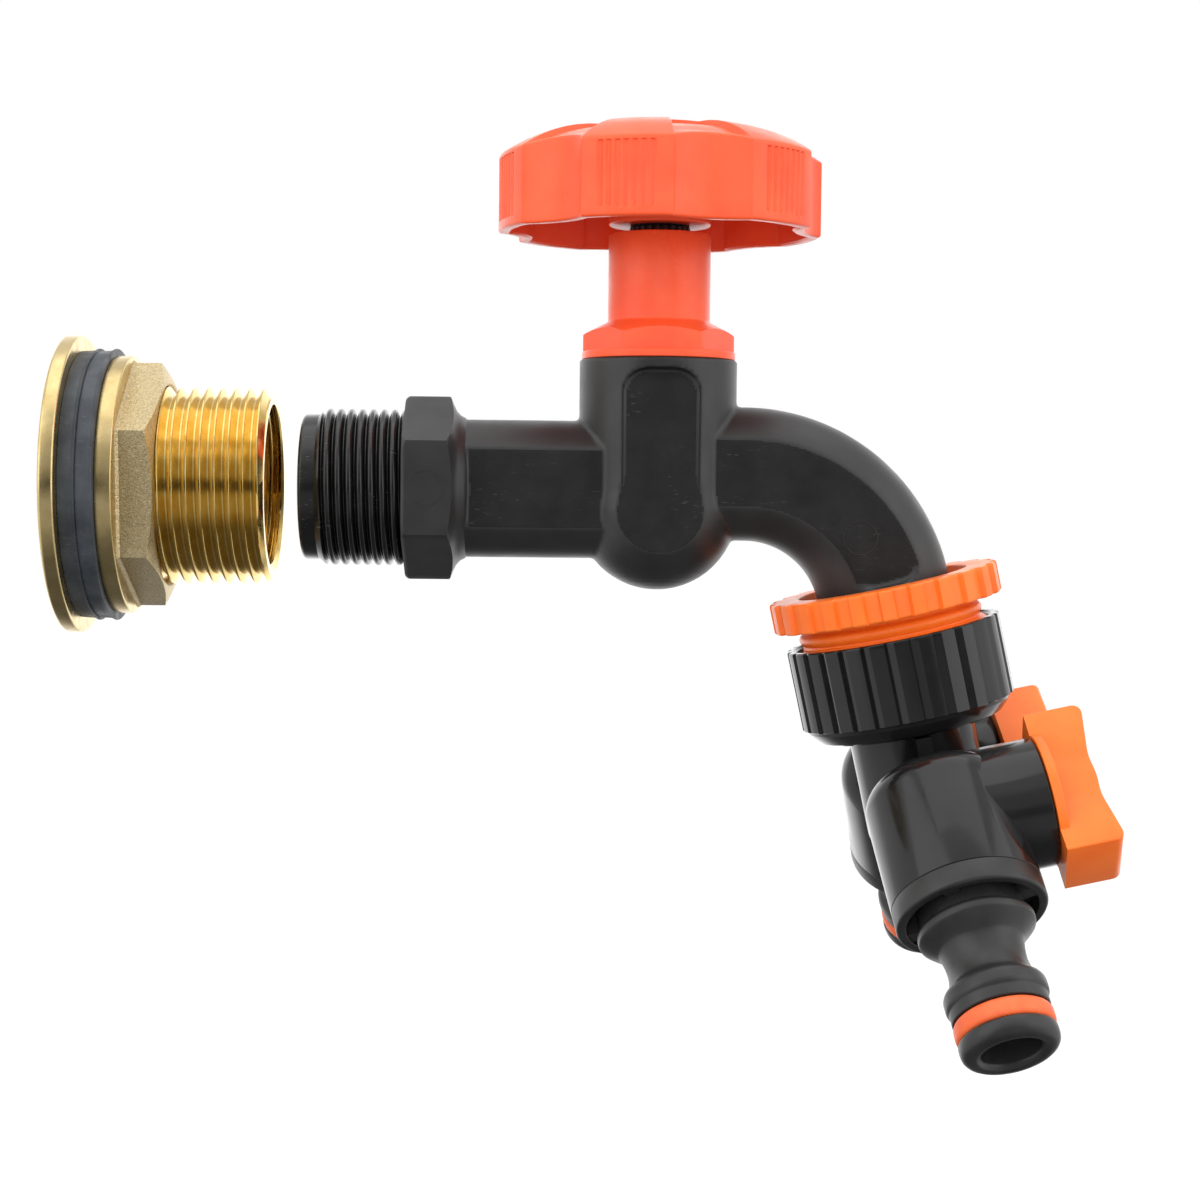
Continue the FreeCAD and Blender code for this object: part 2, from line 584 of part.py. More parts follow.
tap_inside = fuse("tap_inside", [
    cylinder("inlet_bore", "inlet_bore_dia / 2", "tap_reach - chamber_dia / 2",
             place(inlet_start, turn=ALONG_INLET)),
    box("inlet_port", "chamber_dia / 2 + run_gap", "inlet_port_width",
        "inlet_bore_dia / 2 - seat_web + seat_top - run_gap",
        place("-chamber_dia / 2 - run_gap", "-inlet_port_width / 2", "-inlet_bore_dia / 2 + run_gap")),
    cylinder("lower_bore", "lower_bore_dia / 2", "lower_bore_floor + seat_top - seat_web",
             place(z="-lower_bore_floor")),
    cylinder("seat_bore", "seat_bore_dia / 2", "seat_top + seat_web", place(z="-seat_web")),
    cylinder("upper_bore", upper_bore_dia + " / 2", bonnet_foot + " - seat_top", place(z="seat_top")),
    cylinder("bonnet_bore", "bonnet_thread_dia / 2 + fit_gap", "bonnet_thread_len", place(z=bonnet_foot)),
    cylinder("seal_bore", "bonnet_thread_dia / 2 + seal_width + soft_gap", "seal_thick + run_gap",
             place(z="chamber_top - seal_thick - run_gap")),
    cylinder("spout_port", spout_port, "spout_bore_start + run_gap",
             place(z="seat_top + run_gap + %s" % spout_port, turn=ALONG_INLET)),
    cylinder("spout_run_inside", "spout_bore_dia / 2", "spout_run - spout_bore_start",
             place("spout_bore_start", "0", "spout_rise", ALONG_INLET)),
    torus_piece("spout_bend_inside", "spout_bore_dia / 2", BEND),
    cylinder("outlet_bore", "spout_bore_dia / 2", outlet_neck + " + outlet_thread_len", TO_OUTLET)])
cut("tap_body", tap_outside, tap_inside, place(TAP_X))

# Bonnet, seal, spindle and valve

bonnet = turned("bonnet", [
    ("spindle_dia / 2 + run_gap", "-bonnet_thread_len"),
    ("bonnet_thread_dia / 2", "-bonnet_thread_len"),
    ("bonnet_thread_dia / 2", "0"),
    ("bonnet_flange_dia / 2", "0"),
    ("bonnet_flange_dia / 2", "bonnet_flange_thick"),
    ("bonnet_neck_dia / 2", "bonnet_flange_thick"),
    ("bonnet_neck_dia / 2", "bonnet_flange_thick + bonnet_hex_thick + bonnet_neck_len"),
    ("spindle_dia / 2 + run_gap", "bonnet_flange_thick + bonnet_hex_thick + bonnet_neck_len"),
], place(TAP_X, "0", "chamber_top"))
bonnet_hex = new_sketch(bonnet, "bonnet_hexagon", "XY_Plane", "bonnet_flange_thick")
draw_loop(bonnet_hex, hexagon("bonnet_flats"))
draw_circle(bonnet_hex, "0", "0", "spindle_dia / 2 + run_gap")
pad(bonnet, bonnet_hex, "bonnet_hex_thick")
bonnet_corner = new_sketch(bonnet, "bonnet_corner", "XZ_Plane")
hex_corner = "bonnet_flats / 2 / cos(30)"
hex_top = "bonnet_flange_thick + bonnet_hex_thick"
draw_loop(bonnet_corner, [
    (hex_corner + " + run_gap", hex_top + " - bonnet_hex_bevel"),
    (hex_corner + " + run_gap", hex_top + " + run_gap"),
    (hex_corner + " - bonnet_hex_bevel / tan(30)", hex_top + " + run_gap"),
])
bonnet_bevel = bonnet.newObject("PartDesign::Groove", "bonnet_bevel")
bonnet_bevel.Profile = bonnet_corner
bonnet_bevel.ReferenceAxis = (bonnet_corner, ["V_Axis"])
bonnet_bevel.Angle = 360

turned("bonnet_seal", [
    ("bonnet_thread_dia / 2 + soft_gap / 2", "-seal_thick"),
    ("bonnet_thread_dia / 2 + soft_gap / 2 + seal_width", "-seal_thick"),
    ("bonnet_thread_dia / 2 + soft_gap / 2 + seal_width", "0"),
    ("bonnet_thread_dia / 2 + soft_gap / 2", "0"),
], place(TAP_X, "0", "chamber_top"))

washer_top = "(seat_top + face_gap + tap_washer_thick)"
plate_top = "(%s + jumper_thick)" % washer_top
jumper_end = "(%s + jumper_pin_len)" % plate_top
spindle_shoulder = "(%s - face_gap)" % HUB_FOOT
spindle_end = "(%s + spindle_top_len)" % spindle_shoulder
groove_low = "(spindle_groove_height - spindle_ring_section / 2 - run_gap)"
groove_high = "(spindle_groove_height + spindle_ring_section / 2 + run_gap)"
groove_floor = "spindle_dia / 2 - spindle_ring_section"
turned("spindle", [
    ("jumper_pin_dia / 2 + run_gap", "spindle_foot"),
    ("spindle_dia / 2", "spindle_foot"),
    ("spindle_dia / 2", groove_low),
    (groove_floor, groove_low),
    (groove_floor, groove_high),
    ("spindle_dia / 2", groove_high),
    ("spindle_dia / 2", spindle_shoulder),
    ("spindle_top_dia / 2", spindle_shoulder),
    ("spindle_top_dia / 2", spindle_end),
    ("wheel_screw_dia / 2 + run_gap", spindle_end),
    ("wheel_screw_dia / 2 + run_gap", spindle_end + " - wheel_screw_len"),
    ("0", spindle_end + " - wheel_screw_len"),
    ("0", jumper_end + " + face_gap"),
    ("jumper_pin_dia / 2 + run_gap", jumper_end + " + face_gap"),
], place(TAP_X))


def ring(label, middle_radius, section, where):
    """Make a round rubber ring about the Z axis of its place."""
    shape = doc.addObject("Part::Torus", label)
    shape.Label = label
    bind(shape, Radius1=middle_radius, Radius2=section + " / 2", Placement=where)
    return shape


ring("spindle_oring", "spindle_dia / 2 - spindle_ring_section / 2 + run_gap / 2",
     "(spindle_ring_section - run_gap)", place(TAP_X, "0", "spindle_groove_height"))

turned("jumper", [
    ("0", washer_top + " + washer_screw_len - tap_washer_thick"),
    ("washer_screw_dia / 2 + run_gap", washer_top + " + washer_screw_len - tap_washer_thick"),
    ("washer_screw_dia / 2 + run_gap", washer_top),
    ("jumper_dia / 2", washer_top),
    ("jumper_dia / 2", plate_top),
    ("jumper_pin_dia / 2", plate_top),
    ("jumper_pin_dia / 2", jumper_end),
    ("0", jumper_end),
], place(TAP_X))

turned("tap_washer", [
    ("washer_screw_dia / 2 + run_gap", "0"),
    ("tap_washer_dia / 2", "0"),
    ("tap_washer_dia / 2", "tap_washer_thick"),
    ("washer_screw_dia / 2 + run_gap", "tap_washer_thick"),
], place(TAP_X, "0", "seat_top + face_gap"))

turned("washer_screw", [
    ("0", "-washer_screw_head_thick"),
    ("washer_screw_head_dia / 2", "-washer_screw_head_thick"),
    ("washer_screw_head_dia / 2", "0"),
    ("washer_screw_dia / 2", "0"),
    ("washer_screw_dia / 2", "washer_screw_len - face_gap"),
    ("0", "washer_screw_len - face_gap"),
], place(TAP_X, "0", "seat_top + face_gap"))

# Handwheel

wheel = turned("handwheel", [
    ("0", "wheel_height"),
    ("0", "0"),
    ("wheel_dia / 2", "0"),
    ("wheel_dia / 2", "wheel_skirt_height",
     "wheel_dia / 2 - wheel_shoulder_in", "wheel_height - wheel_shoulder_drop"),
    ("wheel_top_dia / 2", "wheel_height"),
], place(TAP_X, "0", HUB_FOOT + " - wheel_rim_drop", spin("Z", "wheel_clock")))
scallop = new_sketch(wheel, "wheel_scallop", "XY_Plane")
scallop_at = "(wheel_dia / 2 - wheel_valley_depth + wheel_scallop_radius)"
draw_circle(scallop, scallop_at + " * cos(30)", scallop_at + " * sin(30)", "wheel_scallop_radius")
repeat_round(wheel, pocket(wheel, scallop, "wheel_height", reversed_way=True), "6")
hollow_half = "acos((pow(wheel_dia / 2; 2) + pow(%s; 2) - pow(%s; 2)) / (wheel_dia * %s))" % (
    scallop_at, "wheel_scallop_radius", scallop_at)
above_dome = "wheel_height + wheel_dome_step"
dome = new_sketch(wheel, "wheel_dome_hollow", "XZ_Plane", turn=spin("Y", "30"))
draw_loop(dome, [
    ("wheel_top_dia / 2", above_dome),
    ("wheel_top_dia / 2", "wheel_height - wheel_dome_step",
     "wheel_dia / 2 - wheel_shoulder_in", "wheel_height - wheel_shoulder_drop - wheel_dome_step"),
    ("wheel_dia / 2", "wheel_skirt_height"),
    ("wheel_dia / 2", above_dome),
])
repeat_round(wheel, round_groove(wheel, dome, "2 * " + hollow_half), "6")
cavity = new_sketch(wheel, "wheel_cavity", "XY_Plane")
cavity_radius = "(wheel_dia / 2 - wheel_wall)"
bulge_radius = "(wheel_scallop_radius + wheel_wall)"
meet = "(acos((pow(%s; 2) + pow(%s; 2) - pow(%s; 2)) / (2 * %s * %s)) / (1 deg))" % (
    cavity_radius, scallop_at, bulge_radius, cavity_radius, scallop_at)
valley_radius = "(wheel_dia / 2 - wheel_valley_depth - wheel_wall)"
outline = []
for lobe in range(6):
    middle = 60 * lobe
    outline.append(("%s * cos(%d - 30 + %s)" % (cavity_radius, middle, meet),
                    "%s * sin(%d - 30 + %s)" % (cavity_radius, middle, meet),
                    "%s * cos(%d)" % (cavity_radius, middle),
                    "0" if lobe % 3 == 0 else "%s * sin(%d)" % (cavity_radius, middle)))
    outline.append(("%s * cos(%d + 30 - %s)" % (cavity_radius, middle, meet),
                    "%s * sin(%d + 30 - %s)" % (cavity_radius, middle, meet),
                    "%s * cos(%d)" % (valley_radius, middle + 30) if lobe % 3 != 1 else "0",
                    "%s * sin(%d)" % (valley_radius, middle + 30)))
draw_loop(cavity, outline)
draw_circle(cavity, "0", "0", "hub_dia / 2")
pocket(wheel, cavity, "wheel_cavity_depth", reversed_way=True)
hub_end = new_sketch(wheel, "hub_end", "XY_Plane")
draw_circle(hub_end, "0", "0", "hub_dia / 2 + wheel_wall")
pocket(wheel, hub_end, "wheel_rim_drop", reversed_way=True)
hub_bore = new_sketch(wheel, "hub_bore", "XY_Plane")
draw_circle(hub_bore, "0", "0", "spindle_top_dia / 2 + run_gap")
pocket(wheel, hub_bore, "wheel_rim_drop + spindle_top_len + 2 * face_gap", reversed_way=True)
screw_hole = new_sketch(wheel, "wheel_screw_hole", "XY_Plane")
draw_circle(screw_hole, "0", "0", "wheel_screw_dia / 2 + run_gap")
pocket(wheel, screw_hole, "wheel_height", reversed_way=True)
screw_seat = "(wheel_height - wheel_screw_head_thick - face_gap)"
head_recess = new_sketch(wheel, "wheel_screw_recess", "XY_Plane", screw_seat)
draw_circle(head_recess, "0", "0", "wheel_screw_head_dia / 2 + soft_gap")
pocket(wheel, head_recess, "wheel_height", reversed_way=True)

turned("handwheel_screw", [
    ("0", "-wheel_screw_len"),
    ("wheel_screw_dia / 2", "-wheel_screw_len"),
    ("wheel_screw_dia / 2", "0"),
    ("wheel_screw_head_dia / 2", "0"),
    ("wheel_screw_head_dia / 2", "wheel_screw_head_thick - wheel_screw_head_round",
     "wheel_screw_head_dia / 2 - wheel_screw_head_round * (1 - cos(45))",
     "wheel_screw_head_thick - wheel_screw_head_round * (1 - cos(45))"),
    ("wheel_screw_head_dia / 2 - wheel_screw_head_round", "wheel_screw_head_thick"),
    ("0", "wheel_screw_head_thick"),
], place(TAP_X, "0", "%s - wheel_rim_drop + %s" % (HUB_FOOT, screw_seat)))

# Adapter, union nut and washers

outlet_end = "(adapter_recess_depth + outlet_thread_len)"
adapter_step = "(%s + face_gap + adapter_washer_thick)" % outlet_end
adapter = turned("thread_adapter", [
    ("adapter_recess_dia / 2", "0"),
    ("adapter_dia / 2", "0"),
    ("adapter_dia / 2", "-adapter_rim_thick"),
    ("adapter_neck_dia / 2", "-adapter_rim_thick"),
    ("adapter_neck_dia / 2", "-adapter_neck_end"),
    ("bsp_large_dia / 2", "-adapter_neck_end"),
    ("bsp_large_dia / 2", "-adapter_len"),
    ("adapter_bore_dia / 2", "-adapter_len"),
    ("adapter_bore_dia / 2", "-" + adapter_step),
    ("bsp_small_dia / 2 + fit_gap", "-" + adapter_step),
    ("bsp_small_dia / 2 + fit_gap", "-adapter_recess_depth"),
    ("adapter_recess_dia / 2", "-adapter_recess_depth"),
], UNION)
notch = new_sketch(adapter, "adapter_notch", "XY_Plane")
notch_floor = "(adapter_dia / 2 - adapter_notch_depth)"
draw_loop(notch, [
    (notch_floor, "-adapter_notch_width / 2"),
    ("adapter_dia / 2 + adapter_notch_depth", "-adapter_notch_width / 2"),
    ("adapter_dia / 2 + adapter_notch_depth", "adapter_notch_width / 2"),
    (notch_floor, "adapter_notch_width / 2"),
])
repeat_round(adapter, pocket(adapter, notch, "adapter_rim_thick"), "adapter_notches")

turned("adapter_washer", [
    ("spout_bore_dia / 2", "-" + adapter_step),
    ("bsp_small_dia / 2 - soft_gap", "-" + adapter_step),
    ("bsp_small_dia / 2 - soft_gap", "-%s - face_gap" % outlet_end),
    ("spout_bore_dia / 2", "-%s - face_gap" % outlet_end),
], UNION)

nut_foot = "(union_nut_start + union_nut_len)"
skirt_foot = "(%s + union_skirt_len)" % nut_foot
lip_top = "(%s - union_lip_thick)" % skirt_foot
nut_side = "(bsp_large_dia / 2 + union_nut_wall)"
union_nut = turned("union_nut", [
    ("bsp_large_dia / 2 + fit_gap", "-union_nut_start"),
    (nut_side, "-union_nut_start"),
    (nut_side, "-" + nut_foot,
     "%s - (%s - union_skirt_dia / 2) * (1 - cos(45))" % (nut_side, nut_side),
     "-%s - union_skirt_len * sin(45)" % nut_foot),
    ("union_skirt_dia / 2", "-" + skirt_foot),
    ("tube_dia / 2 + soft_gap", "-" + skirt_foot),
    ("tube_dia / 2 + soft_gap", "-" + lip_top),
    ("bsp_large_dia / 2 + fit_gap", "-" + lip_top),
], UNION)
groove = new_sketch(union_nut, "union_groove", "XY_Plane")
groove_bottom = "(%s - union_rib_depth)" % nut_side
draw_loop(groove, [
    (groove_bottom, "0"),
    ("%s + union_rib_depth" % nut_side, "-union_rib_steep"),
    ("%s + union_rib_depth" % nut_side, "union_rib_slope"),
])
repeat_round(union_nut, pocket(union_nut, groove, skirt_foot), "union_ribs")

tail_top = "(adapter_len + union_washer_thick + 2 * face_gap)"
turned("union_washer", [
    ("adapter_bore_dia / 2", "-adapter_len - face_gap - union_washer_thick"),
    ("bsp_large_dia / 2 - soft_gap", "-adapter_len - face_gap - union_washer_thick"),
    ("bsp_large_dia / 2 - soft_gap", "-adapter_len - face_gap"),
    ("adapter_bore_dia / 2", "-adapter_len - face_gap"),
], UNION)

# Splitter body

splitter_solids = [turned("splitter_tube", [
    ("0", "-" + tail_top),
    ("tail_flange_dia / 2", "-" + tail_top),
    ("tail_flange_dia / 2", "-%s - tail_flange_thick" % tail_top),
    ("tube_dia / 2", "-%s - tail_flange_thick" % tail_top),
    ("tube_dia / 2", "tube_round - tube_end",
     "tube_dia / 2 - tube_round * (1 - cos(45))", "tube_round * (1 - cos(45)) - tube_end"),
    ("tube_dia / 2 - tube_round", "-tube_end"),
    ("0", "-tube_end"),
])]
splitter_solids.append(box("splitter_web", "web_thick", "2 * web_reach",
                           "valve_drop - %s - soft_gap" % skirt_foot,
                           place("-web_thick / 2", "-web_reach", "-valve_drop")))
splitter_tools = [
    cylinder("tube_bore", "tube_bore_dia / 2", "tube_end - tube_floor - %s" % tail_top,
             place(z="tube_floor - tube_end")),
    cylinder("side_bore", "side_bore_dia / 2", "2 * valve_out",
             place("0", "-valve_out", "-side_bore_drop", spin("X", "-90"))),
]
ACROSS = spin("Y", "90")
stem_collar_start = "(valve_bore_dia / 2 + 2 * face_gap)"
seat_reach = "(ball_seat_inner + ball_seat_thick)"
for side, sign in SIDES.items():
    leg_place = place("0", "%s * valve_out" % sign, "-valve_drop", spin("X", "%s * leg_splay" % sign))
    splitter_solids.append(turned("valve_shell_" + side, [
        ("0", "valve_top"),
        ("valve_dia / 2 - valve_round", "valve_top",
         "valve_dia / 2 - valve_round * (1 - cos(45))", "valve_top - valve_round * (1 - cos(45))"),
        ("valve_dia / 2", "valve_top - valve_round"),
        ("valve_dia / 2", "-valve_foot"),
        ("0", "-valve_foot"),
    ], leg_place))
    splitter_solids.append(cylinder("valve_boss_" + side, "boss_dia / 2", "boss_reach",
                                    "%s * %s" % (leg_place, place(turn=ACROSS))))
    splitter_tools += [
        cylinder("ball_pocket_" + side, "valve_bore_dia / 2", "valve_foot + %s + face_gap" % seat_reach,
                 "%s * %s" % (leg_place, place(z="-valve_foot"))),
        cylinder("ball_crown_" + side, "ball_bore_dia / 2", "ball_dia / 2 + soft_gap",
                 leg_place),
        cylinder("spigot_bore_" + side, "nipple_spigot_dia / 2 + run_gap", "valve_foot - %s" % seat_reach,
                 "%s * %s" % (leg_place, place(z="-valve_foot"))),
        cylinder("stem_bore_" + side, "stem_dia / 2 + run_gap", "boss_reach",
                 "%s * %s" % (leg_place, place(turn=ACROSS))),
        cylinder("collar_bore_" + side, "stem_collar_dia / 2 + run_gap",
                 stem_collar_start + " + stem_collar_thick + face_gap",
                 "%s * %s" % (leg_place, place(turn=ACROSS))),
    ]
cut("splitter_body", fuse("splitter_outside", splitter_solids), fuse("splitter_inside", splitter_tools),
    SPLITTER)

# Legs of the splitter

def ball_seat(label, side, sign):
    """Make a ball seat; sign is 1 for the one above the ball and -1 for the one below."""
    reach = "sqrt(pow(ball_dia / 2 + soft_gap; 2) - pow(%s; 2))"
    near = reach % "ball_seat_inner"
    low = reach % "(ball_seat_inner + ball_seat_thick - ball_seat_lip)"
    middle = reach % "(ball_seat_inner + (ball_seat_thick - ball_seat_lip) / 2)"
    height = "%s * (ball_seat_inner + %s)"
    return turned(label + side, [
        (near, height % (sign, "0"), middle, height % (sign, "(ball_seat_thick - ball_seat_lip) / 2")),
        (low, height % (sign, "ball_seat_thick - ball_seat_lip")),
        (low, height % (sign, "ball_seat_thick")),
        ("valve_bore_dia / 2 - run_gap", height % (sign, "ball_seat_thick")),
        ("valve_bore_dia / 2 - run_gap", height % (sign, "0")),
    ], leg(side))


tip = "nipple_reach"
groove_start = "(nipple_reach - nipple_tip_len)"
band_start = "(%s - nipple_groove_len)" % groove_start
shoulder_start = "(%s - nipple_band_len)" % band_start
shoulder_end = "(%s - nipple_shoulder_len)" % shoulder_start
waist = "(nipple_reach - nipple_waist_at)"
bulb = "(nipple_reach - nipple_bulb_at)"
bulb_end = "(%s - nipple_bulb_len)" % bulb
collar_low = "(valve_foot + nipple_collar_len)"
spigot_end = "(%s + 2 * face_gap)" % seat_reach
nipple_step = "(nipple_shoulder_dia - nipple_band_dia) / 2"
throat = "(nipple_reach - nipple_throat_at)"
slot_outer = "(valve_dia / 2 - nipple_collar_wall)"
for side, sign in SIDES.items():
    nipple = turned("hose_nipple_" + side, [
        ("nipple_bore_dia / 2 + nipple_tip_round / 2", "-" + tip),
        ("nipple_tip_dia / 2 - nipple_tip_round", "-" + tip,
         "nipple_tip_dia / 2 - nipple_tip_round * (1 - cos(45))",
         "-%s + nipple_tip_round * (1 - cos(45))" % tip),
        ("nipple_tip_dia / 2", "-%s + nipple_tip_round" % tip),
        ("nipple_tip_dia / 2", "-" + groove_start),
        ("nipple_groove_dia / 2", "-" + groove_start),
        ("nipple_groove_dia / 2", "-" + band_start),
        ("nipple_band_dia / 2", "-" + band_start),
        ("nipple_band_dia / 2", "-" + shoulder_start),
        ("nipple_shoulder_dia / 2", "-%s + %s" % (shoulder_start, nipple_step)),
        ("nipple_shoulder_dia / 2", "-" + shoulder_end,
         "(nipple_shoulder_dia + nipple_waist_dia) / 4 - %s / 2" % nipple_step,
         "-(%s + %s) / 2" % (shoulder_end, waist)),
        ("nipple_waist_dia / 2", "-" + waist, "nipple_throat_dia / 2", "-" + throat),
        ("nipple_bulb_dia / 2 - nipple_bulb_round", "-%s - nipple_bulb_round" % bulb,
         "nipple_bulb_dia / 2", "-%s + nipple_bulb_round" % bulb),
        ("nipple_bulb_dia / 2 - nipple_bulb_round", "-" + bulb_end),
        ("nipple_neck_dia / 2", "-" + bulb_end),
        ("nipple_neck_dia / 2", "-" + collar_low),
        ("valve_dia / 2", "-" + collar_low),
        ("valve_dia / 2", "-valve_foot"),
        ("nipple_spigot_dia / 2", "-valve_foot"),
        ("nipple_spigot_dia / 2", "-" + spigot_end),
        ("nipple_bore_dia / 2", "-" + spigot_end),
        ("nipple_bore_dia / 2", "-%s + nipple_tip_round" % tip),
    ], leg(side))
    slot = new_sketch(nipple, "nipple_slot_" + side, "XZ_Plane")
    draw_loop(slot, [
        ("nipple_neck_dia / 2", "-%s - face_gap" % collar_low),
        (slot_outer, "-%s - face_gap" % collar_low),
        (slot_outer, "nipple_slot_depth - " + collar_low),
        ("nipple_neck_dia / 2", "nipple_slot_depth - " + collar_low),
    ])
    slot_cut = nipple.newObject("PartDesign::Groove", "nipple_slot_cut_" + side)
    slot_cut.Profile = slot
    slot_cut.ReferenceAxis = (slot, ["V_Axis"])
    bind(slot_cut, Angle="360 / nipple_bridges - nipple_bridge_angle")
    repeat_round(nipple, slot_cut, "nipple_bridges")

    turned("nipple_oring_" + side, [
        ("nipple_groove_dia / 2 + face_gap", "-%s + face_gap" % groove_start),
        ("nipple_ring_dia / 2 - nipple_ring_crown", "-%s + face_gap" % groove_start,
         "nipple_ring_dia / 2", "-(%s + %s) / 2" % (groove_start, band_start)),
        ("nipple_ring_dia / 2 - nipple_ring_crown", "-%s - face_gap" % band_start),
        ("nipple_groove_dia / 2 + face_gap", "-%s - face_gap" % band_start),
    ], leg(side))

    ball_seat("upper_seat_", side, "1")
    ball_seat("lower_seat_", side, "-1")

    ball = doc.addObject("Part::Sphere", "ball_solid_" + side)
    bind(ball, Radius="ball_dia / 2")
    slot_floor = "(ball_dia / 2 - ball_slot_depth)"
    ball_tools = fuse("ball_tools_" + side, [
        cylinder("ball_bore_" + side, "ball_bore_dia / 2", "ball_dia / 2", place(z="-ball_dia / 2")),
        cylinder("ball_side_bore_" + side, "ball_bore_dia / 2", "ball_dia / 2",
                 place(turn=spin("X", "%s * (90 - leg_splay)" % sign))),
        box("ball_slot_" + side, "ball_dia / 2", "ball_slot_width", "ball_dia",
            place(slot_floor, "-ball_slot_width / 2", "-ball_dia / 2")),
    ])
    cut("valve_ball_" + side, ball, ball_tools, leg(side))

    stem_groove_half = "(stem_ring_section / 2 + run_gap)"
    stem_floor = "stem_dia / 2 - stem_ring_section"
    stem = turned("valve_stem_" + side, [
        ("0", stem_collar_start),
        ("stem_collar_dia / 2", stem_collar_start),
        ("stem_collar_dia / 2", stem_collar_start + " + stem_collar_thick"),
        ("stem_dia / 2", stem_collar_start + " + stem_collar_thick"),
        ("stem_dia / 2", "stem_ring_at - " + stem_groove_half),
        (stem_floor, "stem_ring_at - " + stem_groove_half),
        (stem_floor, "stem_ring_at + " + stem_groove_half),
        ("stem_dia / 2", "stem_ring_at + " + stem_groove_half),
        ("stem_dia / 2", "boss_reach"),
        ("stem_top_dia / 2", "boss_reach"),
        ("stem_top_dia / 2", "boss_reach + stem_top_len"),
        ("0", "boss_reach + stem_top_len"),
    ], "%s * %s" % (leg(side), place(turn=ACROSS)))
    tongue = new_sketch(stem, "stem_tongue_" + side, "XY_Plane", slot_floor + " + face_gap")
    draw_loop(tongue, [
        ("-stem_tongue_len / 2", "face_gap - ball_slot_width / 2"),
        ("stem_tongue_len / 2", "face_gap - ball_slot_width / 2"),
        ("stem_tongue_len / 2", "ball_slot_width / 2 - face_gap"),
        ("-stem_tongue_len / 2", "ball_slot_width / 2 - face_gap"),
    ])
    pad(stem, tongue, "%s - %s" % (stem_collar_start, slot_floor))

    ring("stem_oring_" + side, "stem_dia / 2 - stem_ring_section / 2 + run_gap / 2",
         "(stem_ring_section - run_gap)", "%s * %s" % (leg(side), place("stem_ring_at", turn=ACROSS)))

    lever = new_body("valve_lever_" + side,
                     "%s * %s" % (leg(side), place("boss_reach + soft_gap", turn=ACROSS)))
    disc = new_sketch(lever, "lever_disc_" + side, "XY_Plane")
    draw_circle(disc, "0", "0", "lever_disc_dia / 2")
    pad(lever, disc, "lever_disc_thick")
    wing = new_sketch(lever, "lever_wing_" + side, "XZ_Plane")
    end = "lever_len / 2"
    draw_loop(wing, [
        ("-" + end, "0"),
        (end, "0"),
        (end, "lever_top - lever_round",
         end + " - lever_round * (1 - cos(45))", "lever_top - lever_round * (1 - cos(45))"),
        (end + " - lever_round", "lever_top", "0", "lever_top - lever_dip"),
        ("lever_round - " + end, "lever_top",
         "lever_round * (1 - cos(45)) - " + end,
         "lever_top - lever_round * (1 - cos(45))"),
        ("-" + end, "lever_top - lever_round"),
    ])
    pad(lever, wing, "lever_width", both_ways=True)
    flank = "lever_width / 2"
    for flank_name, turn_sign in (("near", "-1"), ("far", "1")):
        waist_cut = new_sketch(lever, "lever_waist_%s_%s" % (flank_name, side), "XY_Plane",
                               "lever_disc_thick")
        edge = "%s * %s" % (turn_sign, flank)
        over = "%s * (%s + lever_waist)" % (turn_sign, flank)
        draw_loop(waist_cut, [
            ("-lever_waist_len / 2", edge, "0", "%s * (%s - lever_waist)" % (turn_sign, flank)),
            ("lever_waist_len / 2", edge),
            ("lever_waist_len / 2", over),
            ("-lever_waist_len / 2", over),
        ])
        pocket(lever, waist_cut, "lever_top", reversed_way=True)
    socket = new_sketch(lever, "lever_socket_" + side, "XY_Plane")
    draw_circle(socket, "0", "0", "stem_top_dia / 2 + run_gap")
    pocket(lever, socket, "stem_top_len", reversed_way=True)

# Checks and files

NODES = [
    "tank_connector", "inner_washer", "outer_washer", "backnut", "tap_body", "bonnet", "bonnet_seal",
    "spindle", "spindle_oring", "jumper", "tap_washer", "washer_screw", "handwheel", "handwheel_screw",
    "thread_adapter", "adapter_washer", "union_nut", "union_washer", "splitter_body",
]
PAIRED = ["hose_nipple", "nipple_oring", "upper_seat", "lower_seat", "valve_ball", "valve_stem",
          "stem_oring", "valve_lever"]
NODES += ["%s_%s" % (name, side) for name in PAIRED for side in SIDES]

doc.recompute()
faults = ["%s: %s" % (item.Name, item.State) for item in doc.Objects
          if "Invalid" in item.State or "Error" in item.State]
for name in NODES:
    shape = doc.getObject(name).Shape
    if shape.isNull() or not shape.isValid() or len(shape.Solids) != 1:
        faults.append("%s: solids %s" % (name, "none" if shape.isNull() else len(shape.Solids)))
if faults:
    raise RuntimeError("; ".join(faults))

os.makedirs("parts", exist_ok=True)
for name in NODES:
    doc.getObject(name).Shape.exportStep("parts/%s.step" % name)
print("%d parts, %.1f cubic centimetres" % (
    len(NODES), math.fsum(doc.getObject(name).Shape.Volume for name in NODES) / 1000))
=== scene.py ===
"""Looks of a water butt tap with its brass tank connector and a two-way hose splitter.

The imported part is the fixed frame. Each piece is modelled in millimetres in the working frame of what
carries it, such as the inlet, the union or a leg, and is then brought to its place in metres.
"""
import logging
import math
from dataclasses import dataclass
from enum import Enum
from typing import Callable, Optional, Sequence

import bmesh
import bpy
from bmesh.types import BMEdge, BMesh, BMFace, BMVert
from mathutils import Matrix, Vector


